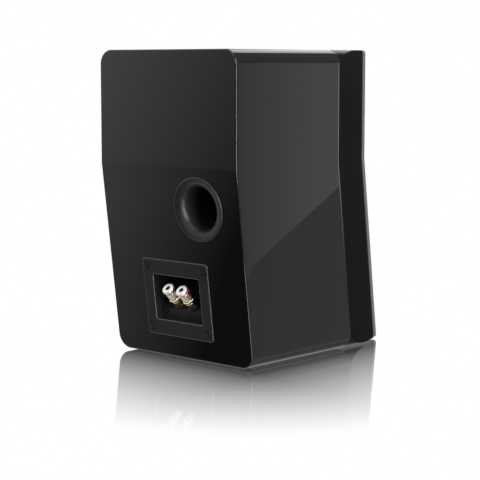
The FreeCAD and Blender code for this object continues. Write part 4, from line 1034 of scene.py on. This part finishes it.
# ---------------------------------------------------------------- woofer and tweeter
def build_woofer():
    """Cone, dust cap, half-roll surround and corrugated spider.

    The cone is straight less a sine, the dust cap a part of a ball, the roll a half sine, and
    the spider a cosine of four waves. The last two bend between the frame and the cone."""
    neck_r, cone_r, neck_z, edge_z = 13.5, 57.0, -32.0, -6.0
    t = np.linspace(0, 1, 14)
    radius = neck_r + (cone_r - neck_r) * t
    flare = 1.2 * np.sin(math.pi * t)
    face = np.stack([radius, neck_z + (edge_z - neck_z) * t - flare], 1)
    back = face[::-1] - [0, 0.9]
    show("woofer_cone_woven", turned(np.concatenate([face, back]) * MM, at_woofer, 128), [CONE],
         "woofer_cone_set", "cone_fibre", ["woofer_cone"])
    rim, rise = 20.0, 6.0
    ball = (rim * rim + rise * rise) / (2 * rise)
    base = neck_z + (edge_z - neck_z) * (rim - neck_r) / (cone_r - neck_r) + 0.1
    spread = math.asin(rim / ball) * np.linspace(1, 0, 12)
    outer = np.stack([ball * np.sin(spread), base + rise - ball + ball * np.cos(spread)], 1)
    inner = outer[::-1] * [0.97, 1] - [0, 0.8]
    show("woofer_dust_cap_dome", turned(np.concatenate([outer, inner]) * MM, at_woofer, 96),
         [RUBBER], "woofer_cone_set", "cone_fibre", ["woofer_dust_cap"])
    flexing_ring("woofer_surround", at_woofer, (57.0, 68.0),
                 lambda s: -4.95 + 5.0 * np.sin(math.pi * s), 1.0, RUBBER, "surround_rubber",
                 "woofer_cone_set", lips=(2.5, 1.0))
    flexing_ring("woofer_spider", at_woofer, (13.5, 37.0),
                 lambda s: -37.7 + 0.55 * (1 - np.cos(8 * math.pi * s)), 0.7, SPIDER,
                 "spider_cloth", "woofer_cone_set", parts=16, steps=48)


def flexing_ring(node, place, across, top, thick, finish, slot_name, moving, lips=(0, 0), parts=24,
                 steps=24):
    """Ring in closed sectors, each bending outward from the moving edge to the fixed one.

    Its radius runs from across[0] to across[1] and its upper face is top(s), s from 0 to 1 over
    that width; lips are flat margins inside and outside it."""
    start, end = across
    s = np.linspace(0, 1, steps + 1)
    upper = np.stack([start + (end - start) * s, top(s)], 1)
    if lips[0]:
        upper = np.concatenate([[(start - lips[0], upper[0, 1])], upper])
    if lips[1]:
        upper = np.concatenate([upper, [(end + lips[1], upper[-1, 1])]])
    profile = np.concatenate([upper, upper[::-1] - [0, thick]]) * MM
    step = 2 * math.pi / parts
    for k in range(parts):
        angle = np.linspace(k * step, (k + 1) * step, 7)
        rows = np.stack([profile[:, 0, None] * np.cos(angle), profile[:, 0, None] * np.sin(angle),
                         np.repeat(profile[:, 1:2], len(angle), 1)], -1)
        skin = Skin()
        skin.grid(place(rows), round_rows=True)
        n = len(upper)
        for side in (0, -1):
            edge = rows[:, side]
            skin.grid([place(edge[:n]), place(edge[n:][::-1])])
        piece = show(f"{node}_sector_{k + 1}", skin, [finish], None, slot_name, sharp=60)
        middle = (k + 0.5) * step
        ray = np.array([math.cos(middle), math.sin(middle), 0])
        chord = math.cos(step / 2)
        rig.blend(piece, moving, "cabinet", start=place(ray * start * chord * MM),
                 end=place(ray * end * MM))
        if k == 0:
            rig.replaces(piece, node)


CAD_FINISHES = (
    (BOARD, "window_brace"),
    (DYED, "grille_frame"),
    (PORT_SKIN, "port_flare_inner"),
    (FOAM, "terminal_gasket woofer_gasket"),
    (OXIDE, "terminal_screws woofer_screws tweeter_screws board_screws"),
    (GOLD, "post_shafts"),
    (BUSH, "post_inner_washers"),
    (ZINC, "post_hex_nuts post_solder_lugs woofer_top_plate woofer_back_plate "
           "tweeter_top_plate tweeter_back_plate"),
    (POWDER, "woofer_basket"),
    (COPPER, "woofer_voice_coil tweeter_voice_coil woofer_inductor tweeter_inductor"),
    (FERRITE, "woofer_magnet tweeter_magnet"),
    (LAMINATE, "woofer_tags crossover_board"),
    (FACEPLATE, "tweeter_faceplate"),
    (DOME, "tweeter_dome"),
    (RUBBER, "tweeter_surround grille_sockets"),
    (COMPONENT, "tweeter_chamber film_capacitors power_resistors"),
    (NYLON, "grille_pegs board_standoffs"),
    (SLEEVE, "input_wires woofer_wires tweeter_wires"),
)


def dents(u, v):
    """Sum of 26 seeded soft dents, each deep * exp(-(distance / wide)^2)."""
    rng = np.random.default_rng(11)
    total = np.zeros_like(u)
    for _ in range(26):
        at_u, at_v = rng.uniform(-1, 1, 2)
        wide, deep = rng.uniform(0.12, 0.3), rng.uniform(0.04, 0.14)
        total += deep * np.exp(-((u - at_u) ** 2 + (v - at_v) ** 2) / wide ** 2)
    return total


def build_padding(node):
    """A wad of polyester fibre laid on the wall: crowned, thinner at its edges, with soft dents.

    Each face stands off the middle by half the node's thickness times
    (0.3 + 0.7 sqrt(dome)) (1 - dents), the dome being (1 - u^4)(1 - v^4) over the two long
    directions. The outline pulls in by a few percent where the dome is low."""
    low, high = (np.array(corner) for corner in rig.box(node))
    middle, half = (low + high) / 2, (high - low) / 2
    thin = int(np.argmin(half))
    u_axis, v_axis = [i for i in range(3) if i != thin]
    n = 41
    grid = np.linspace(-1, 1, n)
    u, v = np.meshgrid(grid, grid, indexing="ij")
    dome = np.clip((1 - u ** 4) * (1 - v ** 4), 0, 1)
    swell = (0.30 + 0.70 * dome ** 0.5) * (1 - np.clip(dents(u, v), 0, 0.35))
    pull = 1 - 0.035 * (1 - dome)
    skin = Skin()
    faces = []
    for side in (-1, 1):
        points = np.empty((n, n, 3))
        points[..., u_axis] = middle[u_axis] + half[u_axis] * u * pull
        points[..., v_axis] = middle[v_axis] + half[v_axis] * v * pull
        points[..., thin] = middle[thin] + side * half[thin] * swell
        skin.grid(points)
        faces.append(np.concatenate([points[:, 0], points[-1, 1:], points[-2::-1, -1],
                                     points[0, -2:0:-1]]))
    skin.grid(faces, round_columns=True)
    pad = show(node + "_wadding", skin, [WOOL], "cabinet", "wadding", [node], sharp=80)
    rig.padded(pad, fill=0.4)


def finish_cad_nodes():
    """Gives each CAD node that stays its finish."""
    for finish, names in CAD_FINISHES:
        for name in names.split():
            mesh = frame["nodes"][name].data
            mesh.materials.clear()
            mesh.materials.append(finish)


# ---------------------------------------------------------------- stage, light and camera
def lamp(name, place, width, height, radiance):
    """Soft box aimed at the speaker. It lights and shows in gloss, but not to the camera."""
    data = bpy.data.lights.new(name, "AREA")
    data.shape = "RECTANGLE"
    data.size, data.size_y = width, height
    data.energy = radiance * width * height * math.pi
    piece = bpy.data.objects.new(name, data)
    bpy.context.scene.collection.objects.link(piece)
    piece.location = place
    aim = mathutils.Vector((0, 0, 0.2)) - mathutils.Vector(place)
    piece.rotation_euler = aim.to_track_quat("-Z", "Y").to_euler()
    piece.visible_camera = False


FADE = 0.30  # distance from the cabinet's foot at which the floor stops mirroring
FADE_POWER = 1.15
MIRROR_AT_FOOT = 0.985


def floor_finish():
    """White floor: a mirror beside the speaker's foot, which fades with distance from it."""
    r = Recipe("studio_floor")
    point = r.node("TexCoord", out=3)
    x, y = r.axis(point, 0), r.axis(point, 1)
    beside = r.math("MAXIMUM", r.math("ABSOLUTE", x) - HALF_W, 0)
    behind = r.math("MAXIMUM", y - (Y_REAR - SHIFT), (Y_FRONT - SHIFT) - y)
    behind = r.math("MAXIMUM", behind, 0)
    away = r.math("SQRT", beside * beside + behind * behind)
    fade = r.clamp(1 - away / FADE)
    grain = r.noise(40, detail=1.0)
    mirror = r.node("BsdfGlossy", Color=(1, 1, 1, 1), Roughness=0.03 + grain * 0.02)
    pale = r.node("Emission", Color=(1, 1, 1, 1))
    mixed = r.node("MixShader", Fac=(fade ** FADE_POWER) * MIRROR_AT_FOOT, in1=pale, in2=mirror)
    r.node("OutputMaterial", Surface=mixed)
    return r.made


def build_stage():
    """Floor, and four soft boxes: an upright strip beside the speaker in two parts, one
    overhead, and one before the front."""
    far = 12.0
    mesh = bpy.data.meshes.new("studio_floor")
    mesh.from_pydata([(-far, -far, 0), (far, -far, 0), (far, far, 0), (-far, far, 0)], [],
                     [(0, 1, 2, 3)])
    mesh.materials.append(floor_finish())
    floor = bpy.data.objects.new("studio_floor", mesh)
    bpy.context.scene.collection.objects.link(floor)
    floor.visible_glossy = False
    floor.visible_diffuse = False
    floor.visible_shadow = False
    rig.stage(floor)
    lamp("strip_beside", (-2.02, 0.86, 0.75), width=0.45, height=2.1, radiance=20)
    lamp("strip_low", (-2.02, 0.86, -0.95), width=0.45, height=1.0, radiance=12)
    lamp("overhead", (-0.3, 0.6, 2.6), width=1.6, height=1.6, radiance=1.6)
    lamp("front_fill", (0.9, -2.3, 1.9), width=1.4, height=1.4, radiance=2.2)


def room_light(r):
    """Light of the white room by direction, in degrees: signed heading from +Y towards +X, its
    size, and height above the level.

    The rear gloss sees a shallow ramp, the side gloss a lit wall above a darker sloping floor
    line, and the front looks into the dark. A bright strip edges that dark, a dark arc crosses
    overhead, and everything is white above the level beside the speaker."""
    ray = r.node("TexCoord", out=0)
    x, y, z = r.axis(ray, 0), r.axis(ray, 1), r.axis(ray, 2)
    degrees = 180 / math.pi
    signed = r.math("ARCTAN2", x, y) * degrees
    heading = r.math("ABSOLUTE", signed)
    height = r.math("ARCSINE", z) * degrees
    below = 0 - height

    def rise(value, start, span):
        """0 up to start, then evenly to 1 over the span."""
        return r.clamp((value - start) / span)

    def fall(value, end, span):
        """1, then evenly down to 0 over the span before end."""
        return r.clamp((end - value) / span)

    def blend(first, second, share):
        """first where share is 0, second where it is 1."""
        return first * (1 - share) + second * share

    ramp_turn, ramp_middle, ramp_slope = 21, 22, 0.08
    across = 0.5 + (r.math("ABSOLUTE", heading - ramp_middle) - ramp_turn) * ramp_slope
    drop = r.clamp(below, -1, 4.5) * 0.045 + r.clamp(below - 4.5, 0, 13) * 0.022
    drop = drop + r.clamp(below - 14.5, 0, 10) * 0.04
    behind = r.clamp(across - drop, 0.05, 0.95)

    corner, floor_level = 137.8, 0.49
    wall = r.clamp(0.65 + (heading - corner) * 0.104, 0.2, 0.92)
    floor_line = r.clamp(-8.0 + (heading - corner) * 0.92, -14.0, -4.4)
    above = r.clamp((height - floor_line) / 0.08 + 0.5)
    side = floor_level + (wall - floor_level) * above

    level = blend(behind, side, rise(heading, 70, 30))
    dark = rise(heading, 158, 8) * r.clamp(1 - (height - 25) / 20)
    level = blend(level, 0.05, dark)
    strip = rise(heading, 146, 2) * fall(heading, 158, 2)
    strip = strip * rise(height, -7, 3) * fall(height, 12, 4)
    level = level + strip * 5

    under = fall(height, -30, 14) * 0.35
    off_side = rise(r.math("ABSOLUTE", signed + 142), 22, 12)
    beside = rise(height, 2, 3) * off_side
    level = blend(level, 1, r.math("MAXIMUM", under, beside))

    arc_y, arc_half, arc_climb = -0.74, 0.17, 9
    band = fall(r.math("ABSOLUTE", y - arc_y), arc_half, 0.05)
    band = band * r.clamp((height - 5 - r.clamp(x / 0.4) * arc_climb) / 4)
    return blend(level, 0.38 - rise(x, -0.3, 0.7) * 0.3, band)


def build_world():
    """The camera sees white; every other ray sees the room."""
    world = bpy.data.worlds.new("white_room")
    bpy.context.scene.world = world
    world.use_nodes = True
    r = Recipe.of(world.node_tree)
    seen = r.node("LightPath", out=0)
    level = seen + (1 - seen) * room_light(r)
    back = r.node("Background", Color=(1, 1, 1, 1), Strength=level)
    r.node("OutputWorld", Surface=back)


CAMERA_AT = (-1.2544, 1.3903, 0.3592)
CAMERA_LENS = 111.0
SENSOR = 36.0
CAMERA_DOWN = 6.767  # degrees below the level
CAMERA_TURN = 222.46  # degrees about the plumb line


def build_camera():
    """Behind the speaker on the port's side, a little above it."""
    data = bpy.data.cameras.new("camera")
    camera = bpy.data.objects.new("camera", data)
    bpy.context.scene.collection.objects.link(camera)
    data.lens = CAMERA_LENS
    data.sensor_width = SENSOR
    data.clip_end = 50
    camera.location = CAMERA_AT
    camera.rotation_euler = (math.radians(90 - CAMERA_DOWN), 0, math.radians(CAMERA_TURN))
    bpy.context.scene.camera = camera


def plain(corners):
    """Corners as plain lists of numbers."""
    return [[float(v) for v in corner] for corner in corners]


build_camera()
build_stage()
build_world()
build_cabinet_shell()
build_rear_panel()
build_front_baffle()
build_feet()
build_port()
build_terminal_cup()
build_polarity_marks()
build_post("minus", -1, BLACK_RING, "minus_black")
build_post("plus", 1, RED_RING, "plus_red")
build_grille()
build_woofer()
build_padding("damping_pad_top")
build_padding("damping_pad_side")
finish_cad_nodes()

bpy.context.scene.view_settings.view_transform = "Standard"
bpy.context.scene.view_settings.look = "None"

with open("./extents.json", "w") as size_file:
    json.dump({"cad": plain(cad_bounds), "visual": plain(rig.bounds())}, size_file)
